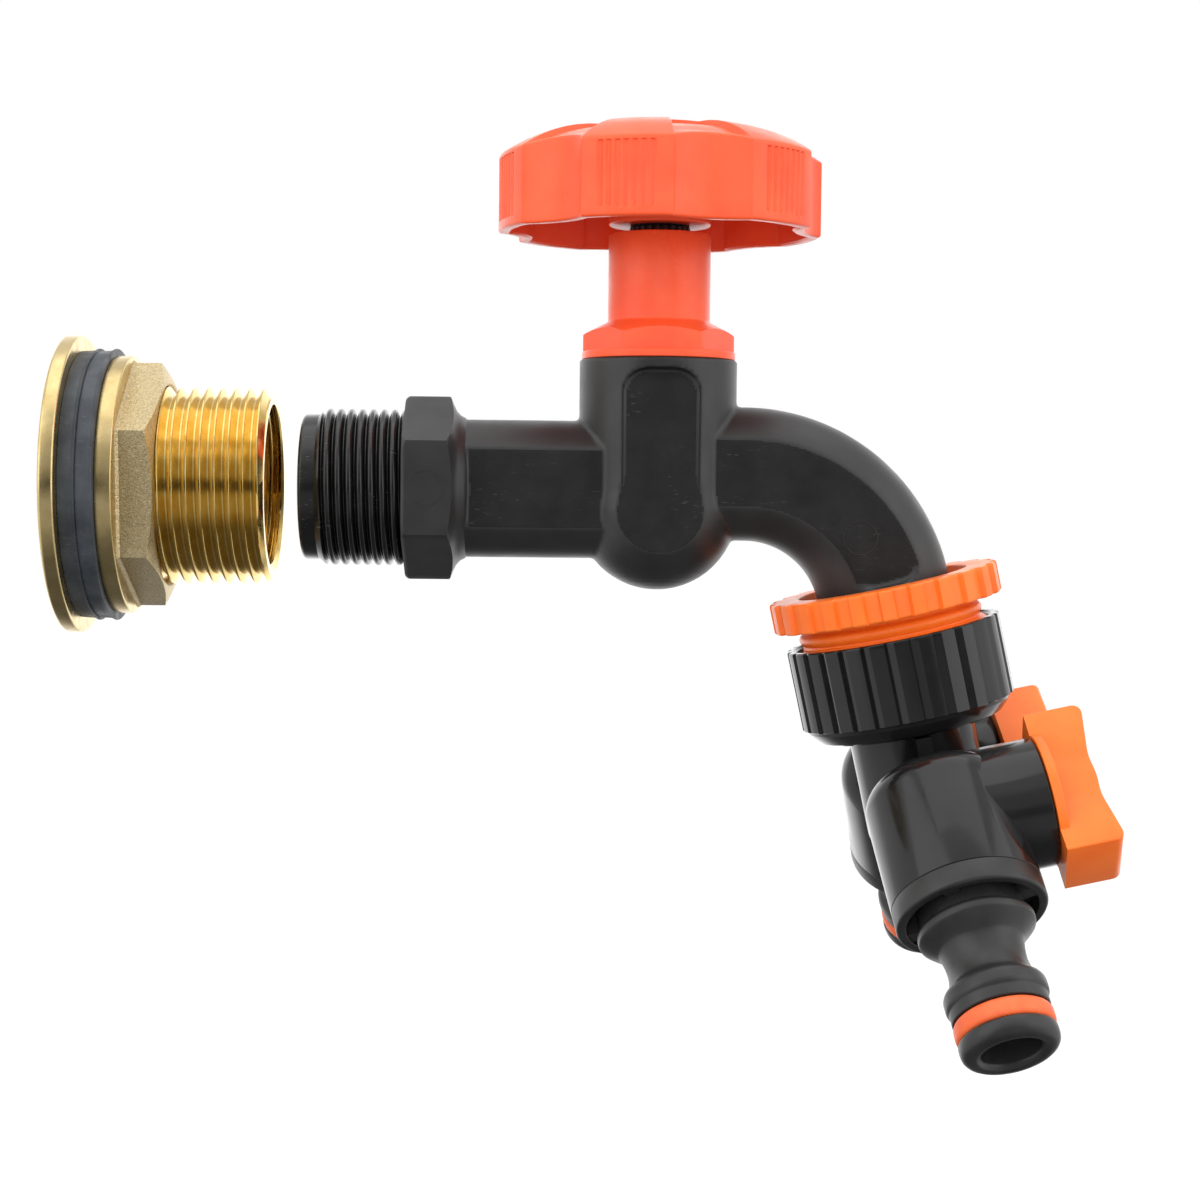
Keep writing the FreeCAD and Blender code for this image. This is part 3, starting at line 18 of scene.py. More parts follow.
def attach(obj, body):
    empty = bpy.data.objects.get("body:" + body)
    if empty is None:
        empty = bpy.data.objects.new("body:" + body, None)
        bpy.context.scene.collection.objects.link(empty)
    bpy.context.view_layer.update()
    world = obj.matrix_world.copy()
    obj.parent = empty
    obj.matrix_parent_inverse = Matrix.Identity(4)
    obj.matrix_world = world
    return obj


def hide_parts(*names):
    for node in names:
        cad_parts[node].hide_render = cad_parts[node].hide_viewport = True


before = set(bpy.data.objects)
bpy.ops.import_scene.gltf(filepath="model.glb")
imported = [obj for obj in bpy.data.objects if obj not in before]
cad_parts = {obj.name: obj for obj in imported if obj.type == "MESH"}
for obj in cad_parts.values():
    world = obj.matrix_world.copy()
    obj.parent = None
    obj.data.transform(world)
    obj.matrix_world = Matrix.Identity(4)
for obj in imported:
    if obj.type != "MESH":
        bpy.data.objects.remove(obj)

MM = 0.001
FULL_TURN = 2 * math.pi
HEX_SIDES = 6
STEPS = 96
MOULD_STEPS = 128
FINE_STEPS = 144
SMALL_STEPS = 64
SECTORS = 6
LARGE_ROUND = 2.0
SMALL_ROUND_FACES = 4
LARGE_ROUND_FACES = 14
TOUCH = 0.01
CREASE = 32.0
WHITE = (1, 1, 1, 1)
LOG = logging.getLogger("water_butt_tap")

Colour = tuple[float, float, float]
Point = tuple[float, float]
Place = tuple[float, float, float]
Move = Callable[[float, float, float], Point]
Socket = bpy.types.NodeSocket
Outputs = dict[str, Socket]


class Side(Enum):
    """The two legs of the splitter."""

    FRONT = -1
    BACK = 1

    @property
    def word(self) -> str:
        """The ending that the leg's node and piece names have."""
        return self.name.lower()


class Relief(Enum):
    """Fine relief of a surface, by the name of its effect."""

    SMOOTH = ""
    GRAIN = "grain"
    CAST = "cast"
    TURNED = "turning"


class Joinery(Enum):
    """What a boolean does with its tool."""

    JOIN = "UNION"
    CUT = "DIFFERENCE"


def turn_about(axis: str, degrees: float) -> Matrix:
    """Return a rotation about X, Y or Z."""
    return Matrix.Rotation(math.radians(degrees), 4, axis)


def shift(x: float = 0.0, y: float = 0.0, z: float = 0.0) -> Matrix:
    """Return a move along the axes."""
    return Matrix.Translation((x, y, z))


@dataclass(frozen=True)
class Layout:
    """Where the working frames stand, in millimetres and degrees."""

    tap_x: float = 96.7
    union: Place = (135.3788, 0.0, -15.3017)
    union_lean: float = -12.5
    swivel: float = -2.1
    leg_splay: float = 40.5
    leg_drop: float = 38.8
    leg_out: float = 20.9

    def inlet(self) -> Matrix:
        """Frame of the connector: +Z runs along the inlet, from the centre of the sealing face."""
        return turn_about("Y", 90)

    def tap(self) -> Matrix:
        """Upright frame where the handwheel's axis meets the inlet's."""
        return shift(self.tap_x)

    def tap_inlet(self) -> Matrix:
        """Frame of the tap's inlet: as tap(), with +Z along the inlet."""
        return self.tap() @ turn_about("Y", 90)

    def union_top(self) -> Matrix:
        """Frame of the union: +Z runs up the spout from the adapter's top face."""
        return shift(*self.union) @ turn_about("Y", self.union_lean)

    def splitter(self) -> Matrix:
        """Frame of the splitter, turned a little about the union."""
        return self.union_top() @ turn_about("Z", self.swivel)

    def leg_in_splitter(self, side: Side) -> Matrix:
        """Frame of a leg within the splitter's own frame."""
        return (shift(0, side.value * self.leg_out, -self.leg_drop)
                @ turn_about("X", side.value * self.leg_splay))

    def leg(self, side: Side) -> Matrix:
        """Frame of a leg: origin at the ball's centre, +Z up the leg and +X towards the lever."""
        return self.splitter() @ self.leg_in_splitter(side)


LAYOUT = Layout()


# Shapes

def all_of(shell: BMesh) -> list:
    """Return every vertex, edge and face of a shell."""
    return shell.verts[:] + shell.edges[:] + shell.faces[:]


def cleaned(shell: BMesh) -> BMesh:
    """Merge double vertices and point the faces of a closed shell outwards."""
    bmesh.ops.remove_doubles(shell, verts=shell.verts[:], dist=1e-4)
    bmesh.ops.recalc_face_normals(shell, faces=shell.faces[:])
    return shell


def bevelled(shell: BMesh, geometry: list, radius: float, faces: int, kind: str = "EDGES") -> BMesh:
    """Round chosen edges or vertices of a shell.

    Args:
        shell: the shell to change.
        geometry: the edges or vertices.
        radius: size of the round.
        faces: number of faces across it.
        kind: "EDGES" or "VERTICES".

    Returns:
        The same shell.
    """
    bmesh.ops.bevel(shell, geom=geometry, offset=radius, offset_type="OFFSET", affect=kind, segments=faces,
                    profile=0.5, material=-1, clamp_overlap=kind == "EDGES")
    return shell


def spun(shell: BMesh, angle: float, steps: int, **how: object) -> None:
    """Sweep or repeat all of a shell about Z."""
    bmesh.ops.spin(shell, geom=all_of(shell), cent=(0, 0, 0), axis=(0, 0, 1), angle=angle, steps=steps, **how)


def turned(outline: Sequence[tuple[float, ...]], steps: int = STEPS) -> BMesh:
    """Turn an outline about Z into a closed shell.

    Args:
        outline: corners as (radius, height) or (radius, height, round), in order.
        steps: number of steps around. One sector is swept and then repeated where they allow it.

    Returns:
        The shell.
    """
    shell = bmesh.new()
    spots = [shell.verts.new((corner[0], 0, corner[1])) for corner in outline]
    for first, second in zip(spots, spots[1:] + spots[:1]):
        if first.co.x > 0 or second.co.x > 0:
            shell.edges.new((first, second))
    for spot, corner in zip(spots, outline):
        if len(corner) == 3:
            faces = SMALL_ROUND_FACES if corner[2] < LARGE_ROUND else LARGE_ROUND_FACES
            bevelled(shell, [spot], corner[2], faces, "VERTICES")
    parts = SECTORS if steps % SECTORS == 0 else 1
    spun(shell, FULL_TURN / parts, steps // parts, use_merge=parts == 1)
    if parts > 1:
        spun(shell, FULL_TURN * (parts - 1) / parts, parts - 1, use_duplicate=True)
    return cleaned(shell)


def reshape(shell: BMesh, move: Move) -> BMesh:
    """Move every vertex in its own half plane through Z.

    Args:
        shell: the shell to change.
        move: takes a vertex's radius, angle and height, and returns its new radius and height.

    Returns:
        The same shell.
    """
    for vert in shell.verts:
        radius, angle = math.hypot(vert.co.x, vert.co.y), math.atan2(vert.co.y, vert.co.x)
        radius, height = move(radius, angle, vert.co.z)
        vert.co = (radius * math.cos(angle), radius * math.sin(angle), height)
    return shell


def moved(shell: BMesh, place: Matrix) -> BMesh:
    """Bring a shell to another frame and return it."""
    bmesh.ops.transform(shell, matrix=place, verts=shell.verts[:])
    return shell


def clamped(share: float) -> float:
    """Return a share held between 0 and 1."""
    return min(1.0, max(0.0, share))


def hex_corner(flats: float) -> float:
    """Return the corner radius of a hexagon from its size across the flats."""
    return flats / 2 / math.cos(math.pi / HEX_SIDES)


def flat_reach(angle: float, flats: float, clock: float = 0.0) -> float:
    """Distance from the axis to the side of a hexagon.

    Args:
        angle: direction from the axis, in radians.
        flats: size across the flats.
        clock: direction of a corner, in radians.

    Returns:
        The distance in that direction.
    """
    part = FULL_TURN / HEX_SIDES
    return flats / 2 / math.cos((angle - clock) % part - part / 2)


def faceted(radius: float, height: float, reach: float, shoulder: float, slope: float) -> Point:
    """Trim a turned outline to a flat, and carry its sloping shoulder along the cut.

    Args:
        radius: distance of the point from the axis.
        height: its height.
        reach: distance of the flat in the point's direction.
        shoulder: height from which the slope starts.
        slope: rise of the slope for each millimetre inwards.

    Returns:
        The point's new radius and height.
    """
    if radius <= reach:
        return radius, height
    return reach, height + (slope * (radius - reach) if height > shoulder else 0.0)


def slab(size: Place, centre: Place) -> BMesh:
    """Make a block of a size about a centre."""
    shell = bmesh.new()
    bmesh.ops.create_cube(shell, size=1, matrix=shift(*centre) @ Matrix.Diagonal((*size, 1)))
    return shell


def edges_where(shell: BMesh, chosen: Callable[[Vector, Vector], bool]) -> list[BMEdge]:
    """Return the edges of a shell whose two ends satisfy a test."""
    return [edge for edge in shell.edges if chosen(edge.verts[0].co, edge.verts[1].co)]


def painted(shell: BMesh, finish: int) -> BMesh:
    """Give all faces of a shell the material of that number in the piece's list."""
    for face in shell.faces:
        face.material_index = finish
    return shell


def as_mesh(shell: BMesh, name: str) -> bpy.types.Mesh:
    """Turn a shell into a mesh and free the shell."""
    mesh = bpy.data.meshes.new(name)
    shell.to_mesh(mesh)
    shell.free()
    return mesh


def in_scene(name: str, data: bpy.types.ID) -> bpy.types.Object:
    """Put a mesh, lamp or camera in the scene and return its object."""
    thing = bpy.data.objects.new(name, data)
    bpy.context.scene.collection.objects.link(thing)
    return thing


def as_object(shell: BMesh, name: str) -> bpy.types.Object:
    """Put a shell in the scene as an object that modifiers can work on."""
    return in_scene(name, as_mesh(shell, name))


def discard(thing: bpy.types.Object) -> None:
    """Remove a bench object and its mesh."""
    mesh = thing.data
    bpy.data.objects.remove(thing)
    bpy.data.meshes.remove(mesh)


def joined(*shells: BMesh) -> BMesh:
    """Gather shells into the first one and return it."""
    for shell in shells[1:]:
        scrap = as_mesh(shell, "scrap")
        shells[0].from_mesh(scrap)
        bpy.data.meshes.remove(scrap)
    return shells[0]


def worked(thing: bpy.types.Object) -> BMesh:
    """Apply the modifiers of a bench object, remove it and return its shape."""
    bpy.context.view_layer.update()
    shape = thing.evaluated_get(bpy.context.evaluated_depsgraph_get())
    shell = bmesh.new()
    shell.from_mesh(shape.to_mesh())
    shape.to_mesh_clear()
    discard(thing)
    return shell


def carved(base: BMesh, tool: BMesh, way: Joinery) -> BMesh:
    """Join a closed shell to another or cut it out.

    Args:
        base: the shell that is kept.
        tool: the shell that is joined or cut out.
        way: which of the two.

    Returns:
        The new shell.
    """
    thing, knife = as_object(base, "bench"), as_object(tool, "knife")
    modifier = thing.modifiers.new("carve", "BOOLEAN")
    modifier.operation, modifier.solver, modifier.object = way.value, "EXACT", knife
    shell = worked(thing)
    discard(knife)
    return shell


def melted(shell: BMesh, voxel: float, rounds: int) -> BMesh:
    """Run overlapping shells into one skin with soft corners, as a moulding has.

    Args:
        shell: closed shells that overlap.
        voxel: size of the new faces.
        rounds: how often the skin is smoothed.

    Returns:
        The skin.
    """
    thing = as_object(shell, "bench")
    modifier = thing.modifiers.new("melt", "REMESH")
    modifier.mode, modifier.voxel_size = "VOXEL", voxel
    skin = worked(thing)
    for _ in range(rounds):
        bmesh.ops.smooth_vert(skin, verts=skin.verts[:], factor=0.5, use_axis_x=True, use_axis_y=True,
                              use_axis_z=True)
    bmesh.ops.recalc_face_normals(skin, faces=skin.faces[:])
    return skin


SHARP_TOOTH = ((0.05, 0.0), (0.10, 0.06), (0.40, 0.92), (0.45, 1.0),
               (0.55, 1.0), (0.60, 0.92), (0.90, 0.06), (0.95, 0.0))
SOFT_TOOTH = ((0.03, 0.0), (0.09, 0.22), (0.19, 0.62), (0.30, 0.88), (0.40, 0.98), (0.50, 1.0),
              (0.60, 0.98), (0.70, 0.88), (0.81, 0.62), (0.91, 0.22), (0.97, 0.0))


@dataclass(frozen=True)
class PipeThread:
    """A pipe thread; inside threads are cut outwards from their crest."""

    crest: float
    pitch: float
    depth: float
    tooth: tuple[Point, ...] = SHARP_TOOTH
    inside: bool = False

    @property
    def root(self) -> float:
        """Radius of the groove's floor in an outside thread."""
        return self.crest - self.depth

    def sheet(self, low: float, high: float) -> BMesh:
        """Return the open threaded surface between two heights."""
        skin = bmesh.new()
        way = 1 if self.inside else -1
        last = None
        for turn in range(-1, math.ceil((high - low) / self.pitch) + 1):
            for share, rise in self.tooth:
                radius = self.crest + way * self.depth * (1 - rise)
                spot = skin.verts.new((radius, 0, low + (turn + share) * self.pitch))
                if last:
                    skin.edges.new((last, spot))
                last = spot
        spun(skin, FULL_TURN, STEPS, dvec=(0, 0, self.pitch / STEPS), use_merge=False)
        bmesh.ops.remove_doubles(skin, verts=skin.verts[:], dist=1e-3)
        for height, below in ((low, True), (high, False)):
            bmesh.ops.bisect_plane(skin, geom=all_of(skin), dist=1e-5, plane_co=(0, 0, height),
                                   plane_no=(0, 0, 1), clear_inner=below, clear_outer=not below)
        return skin


def rim_at(skin: BMesh, height: float) -> list[BMEdge]:
    """Return the open edges of a surface at a height."""
    return [edge for edge in skin.edges if edge.is_boundary
            and all(abs(vert.co.z - height) < 1e-3 for vert in edge.verts)]


def sleeve(skin: BMesh, low: float, high: float, radius: float) -> BMesh:
    """Close a threaded surface with two end faces and a plain wall.

    Args:
        skin: the open surface.
        low: its lower end.
        high: its upper end.
        radius: radius of the plain wall.

    Returns:
        The closed shell.
    """
    walls = []
    for height in (low, high):
        made = bmesh.ops.extrude_edge_only(skin, edges=rim_at(skin, height))["geom"]
        for vert in (part for part in made if isinstance(part, BMVert)):
            share = radius / math.hypot(vert.co.x, vert.co.y)
            vert.co = (vert.co.x * share, vert.co.y * share, height)
        walls += [part for part in made if isinstance(part, BMEdge) and part.is_boundary]
    bmesh.ops.bridge_loops(skin, edges=walls)
    return cleaned(skin)


# Finishes

class Wiring:
    """Adds nodes to a node tree and joins them up."""

    def __init__(self, tree: bpy.types.NodeTree) -> None:
        """Start with a tree."""
        self.tree = tree

    @classmethod
    def anew(cls, owner: bpy.types.ID) -> "Wiring":
        """Give a material or world an empty node tree and return its wiring."""
        owner.use_nodes = True
        owner.node_tree.nodes.clear()
        return cls(owner.node_tree)

    def node(self, kind: str, values: Optional[dict] = None, **settings: object) -> bpy.types.Node:
        """Add a node.

        Args:
            kind: the node's type name, without "ShaderNode".
            values: inputs by name or number, each a value or a socket to join.
            settings: properties of the node itself.

        Returns:
            The node.
        """
        made = self.tree.nodes.new(kind if kind.startswith("Node") else "ShaderNode" + kind)
        for key, setting in settings.items():
            setattr(made, key, setting)
        for key, given in (values or {}).items():
            if isinstance(given, Socket):
                self.tree.links.new(given, made.inputs[key])
            else:
                made.inputs[key].default_value = given
        return made

    def sums(self, operation: str, *values: object) -> Socket:
        """Add a Math node and return its result."""
        return self.node("Math", dict(enumerate(values)), operation=operation).outputs[0]

    def noise(self, where: Socket, scale: object, detail: float = 2.0, roughness: float = 0.5) -> Socket:
        """Add a noise pattern and return its value."""
        values = {"Vector": where, "Scale": scale, "Detail": detail, "Roughness": roughness}
        return self.node("TexNoise", values).outputs["Fac"]

    def ramp(self, given: Socket, low: float, high: float, least: object = 0.0, most: object = 1.0,
             kind: str = "LINEAR") -> Socket:
        """Map a value.

        Args:
            given: the value.
            low: value that gives the least result.
            high: value that gives the most.
            least: the result there.
            most: the result there.
            kind: how the result runs between the two.

        Returns:
            The result.
        """
        values = {"Value": given, "From Min": low, "From Max": high, "To Min": least, "To Max": most}
        return self.node("MapRange", values, interpolation_type=kind).outputs["Result"]

    def mix(self, share: Socket, first: object, second: object) -> Socket:
        """Mix two colours and return the result."""
        return self.node("Mix", {"Factor": share, 6: first, 7: second}, data_type="RGBA").outputs[2]

    def effect(self, name: str, where: Socket, **values: object) -> bpy.types.bpy_prop_collection:
        """Add a shared effect and return its outputs."""
        return self.node("Group", {"Vector": where, **values}, node_tree=EFFECTS.group(name)).outputs


class Effects:
    """Shader node groups that several finishes share, each built once."""

    INPUTS = {"patches": ("Size", "Dark", "Light", "Least", "Most"), "scuffs": ("Amount",)}
    KINDS = {"Vector": "Vector", "Dark": "Color", "Light": "Color", "Color": "Color"}
    SCUFF_TURNS = ((0.5, 9.0), (1.9, 6.0))

    def __init__(self) -> None:
        """Start with none built."""
        self.built: dict[str, bpy.types.NodeTree] = {}

    def group(self, name: str) -> bpy.types.NodeTree:
        """Return the group of that name, building it the first time."""
        if name not in self.built:
            tree = self.built[name] = bpy.data.node_groups.new(name, "ShaderNodeTree")
            wiring = Wiring(tree)
            self.sockets(tree, "INPUT", ("Vector", *self.INPUTS.get(name, ("Size",))))
            given = dict(wiring.node("NodeGroupInput").outputs.items())
            if "Size" in given:
                given["Scale"] = wiring.sums("DIVIDE", 1.0, given["Size"])
            made = getattr(self, name)(wiring, given)
            self.sockets(tree, "OUTPUT", made)
            wiring.node("NodeGroupOutput", made)
        return self.built[name]

    def sockets(self, tree: bpy.types.NodeTree, way: str, names: Sequence[str]) -> None:
        """Give a group its named inputs or outputs."""
        for name in names:
            kind = "NodeSocket" + self.KINDS.get(name, "Float")
            tree.interface.new_socket(name=name, in_out=way, socket_type=kind)

    @staticmethod
    def patches(wiring: Wiring, given: Outputs) -> Outputs:
        """Soft patches of two colours and of gloss."""
        colour = wiring.noise(given["Vector"], given["Scale"], 4.0, 0.6)
        away = wiring.node("VectorMath", {0: given["Vector"], 1: (31.0, 17.0, 7.0)}).outputs[0]
        gloss = wiring.noise(away, wiring.sums("MULTIPLY", given["Scale"], 1.7), 3.0)
        return {"Color": wiring.mix(wiring.ramp(colour, 0.32, 0.68), given["Dark"], given["Light"]),
                "Roughness": wiring.ramp(gloss, 0.3, 0.7, given["Least"], given["Most"])}

    @staticmethod
    def grain(wiring: Wiring, given: Outputs) -> Outputs:
        """Even fine grain of a spark eroded or moulded surface."""
        return {"Height": wiring.noise(given["Vector"], given["Scale"], 2.0, 0.55)}

    @staticmethod
    def cast(wiring: Wiring, given: Outputs) -> Outputs:
        """Sandy skin of a casting: small pits between rounded grains."""
        values = {"Vector": given["Vector"], "Scale": given["Scale"], "Smoothness": 0.7}
        grains = wiring.node("TexVoronoi", values, feature="SMOOTH_F1").outputs["Distance"]
        noise = wiring.noise(given["Vector"], given["Scale"], 3.0)
        return {"Height": wiring.sums("SUBTRACT", noise, wiring.sums("MULTIPLY", grains, 0.6))}

    @staticmethod
    def turning(wiring: Wiring, given: Outputs) -> Outputs:
        """Fine rings that a lathe leaves around the inlet's axis."""
        parts = wiring.node("SeparateXYZ", {0: given["Vector"]}).outputs
        squares = wiring.sums("ADD", *(wiring.sums("MULTIPLY", parts[axis], parts[axis]) for axis in "YZ"))
        ring = wiring.node("CombineXYZ", {"X": parts["X"], "Y": wiring.sums("SQRT", squares)}).outputs[0]
        return {"Height": wiring.noise(ring, given["Scale"], 3.0, 0.7)}

    @classmethod
    def scuffs(cls, wiring: Wiring, given: Outputs) -> Outputs:
        """Short scratches and rubbed specks that lie in loose groups."""
        streaks = []
        for turn, stretch in cls.SCUFF_TURNS:
            bent = wiring.node("Mapping", {"Vector": given["Vector"], "Rotation": (0.3, turn, 0.2),
                                           "Scale": (1.0, 1.0, stretch)}).outputs[0]
            streaks.append(wiring.ramp(wiring.noise(bent, 0.55, 1.0), 0.70, 0.76))
        spread = wiring.ramp(wiring.noise(given["Vector"], 0.12), 0.5, 0.62)
        mask = wiring.sums("MULTIPLY", wiring.sums("MAXIMUM", *streaks), spread)
        return {"Mask": wiring.sums("MULTIPLY", mask, given["Amount"])}


EFFECTS = Effects()


def grey(level: float) -> Colour:
    """Return a grey in linear light."""
    return level, level, level


@dataclass(frozen=True)
class Finish:
    """One finish: colours in linear light, sizes in millimetres."""

    name: str
    dark: Colour
    light: Colour
    patch: float
    least_rough: float
    most_rough: float
    relief: Relief
    relief_size: float
    relief_depth: float
    metallic: float = 0.0
    specular: float = 0.5
    scuffs: float = 0.0
    scuff_colour: Colour = grey(0.2)

    def material(self) -> bpy.types.Material:
        """Return the finish's material, building it the first time."""
        made = bpy.data.materials.get(self.name)
        if made:
            return made
        made = bpy.data.materials.new(self.name)
        wiring = Wiring.anew(made)
        metres = wiring.node("TexCoord").outputs["Object"]
        where = wiring.node("Mapping", {"Vector": metres, "Scale": (1 / MM,) * 3}).outputs[0]
        patches = wiring.effect("patches", where, Size=self.patch, Dark=(*self.dark, 1),
                                Light=(*self.light, 1), Least=self.least_rough, Most=self.most_rough)
        colour = patches["Color"]
        if self.scuffs:
            marks = wiring.effect("scuffs", where, Amount=self.scuffs)["Mask"]
            colour = wiring.mix(marks, colour, (*self.scuff_colour, 1))
        values = {"Base Color": colour, "Roughness": patches["Roughness"], "Metallic": self.metallic,
                  "Specular IOR Level": self.specular}
        if self.relief is not Relief.SMOOTH:
            height = wiring.effect(self.relief.value, where, Size=self.relief_size)["Height"]
            values["Normal"] = wiring.node("Bump", {"Height": height, "Distance": self.relief_depth * MM,
                                                    "Strength": 1.0}).outputs["Normal"]
        wiring.node("OutputMaterial", {"Surface": wiring.node("BsdfPrincipled", values).outputs[0]})
        return made


TURNED_BRASS = Finish("turned_brass", (0.56, 0.42, 0.18), (0.74, 0.58, 0.29), 5.0, 0.20, 0.34,
                      Relief.TURNED, 0.22, 0.012, metallic=1.0)
# Painted light: the thread's brass is a lighter, yellower copy of the turned brass that stands in for the
# light the thread catches; its lower roughness is the thread's own.
LIT_THREAD_BRASS = Finish("lit_thread_brass", (0.70, 0.47, 0.13), (0.80, 0.59, 0.23), 3.0, 0.12, 0.2,
                      Relief.TURNED, 0.18, 0.006, metallic=1.0)
CAST_BRASS = Finish("cast_brass", (0.46, 0.36, 0.19), (0.76, 0.63, 0.38), 0.35, 0.36, 0.5,
                    Relief.CAST, 0.24, 0.11, metallic=1.0)
WASHER_RUBBER = Finish("washer_rubber", (0.026, 0.032, 0.040), (0.058, 0.068, 0.080), 5.0, 0.42, 0.62,
                       Relief.GRAIN, 0.5, 0.02, scuffs=0.35, scuff_colour=(0.16, 0.18, 0.20))
SATIN_BLACK = Finish("satin_black", grey(0.014), grey(0.022), 9.0, 0.36, 0.46, Relief.GRAIN, 0.5, 0.010)
GRAINED_BLACK = Finish("grained_black", grey(0.008), grey(0.014), 6.0, 0.5, 0.62,
                       Relief.GRAIN, 0.36, 0.065, specular=0.26, scuffs=0.45, scuff_colour=grey(0.10))
THREAD_BLACK = Finish("thread_black", grey(0.003), grey(0.006), 4.0, 0.18, 0.27,
                      Relief.GRAIN, 0.35, 0.008, scuffs=0.35, scuff_colour=grey(0.15))
GLOSS_BLACK = Finish("gloss_black", grey(0.008), grey(0.012), 8.0, 0.11, 0.20,
                     Relief.GRAIN, 2.2, 0.010, specular=0.42)
MATT_BLACK = Finish("matt_black", grey(0.013), grey(0.021), 5.0, 0.34, 0.46, Relief.GRAIN, 0.7, 0.010)
WHEEL_ORANGE = Finish("wheel_orange", (0.93, 0.088, 0.024), (0.97, 0.118, 0.035), 9.0, 0.27, 0.38,
                      Relief.GRAIN, 0.6, 0.008, specular=0.38)
FITTING_ORANGE = Finish("fitting_orange", (0.92, 0.150, 0.011), (0.96, 0.190, 0.018), 8.0, 0.3, 0.42,
                        Relief.GRAIN, 0.6, 0.008, specular=0.42)
RING_ORANGE = Finish("ring_orange", (0.78, 0.11, 0.024), (0.88, 0.15, 0.036), 3.0, 0.42, 0.55,
                     Relief.GRAIN, 0.3, 0.01)
SEAT_WHITE = Finish("seat_white", (0.74, 0.73, 0.70), (0.82, 0.81, 0.78), 3.0, 0.3, 0.4,
                    Relief.GRAIN, 0.4, 0.008)
SCREW_STEEL = Finish("screw_steel", (0.50, 0.50, 0.52), (0.64, 0.64, 0.65), 2.0, 0.22, 0.36,
                     Relief.GRAIN, 0.15, 0.008, metallic=1.0)


def settle(name: str, shell: BMesh, place: Matrix, finishes: Sequence[Finish], body: str, slot: str,
           *nodes: str, crease: float = CREASE) -> None:
    """Bring a piece to its place in metres, dress it and fix it to its body.

    Args:
        name: name of the piece.
        shell: its shape, in millimetres in its working frame.
        place: the working frame.
        finishes: its finishes, in the order of its faces' numbers.
        body: the body that carries it.
        slot: the record's material slot, which is not used.
        nodes: nodes that it stands for.
        crease: angle in degrees from which an edge stays sharp.
    """
    mesh = as_mesh(moved(shell, Matrix.Scale(MM, 4) @ place), name)
    for finish in finishes:
        mesh.materials.append(finish.material())
    mesh.shade_smooth()
    mesh.set_sharp_from_angle(angle=math.radians(crease))
    piece = in_scene(name, mesh)
    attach(piece, body)
    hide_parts(*nodes)
    LOG.info("%s: %d faces, rides on %s", name, len(mesh.polygons), body)


# Sub-assemblies

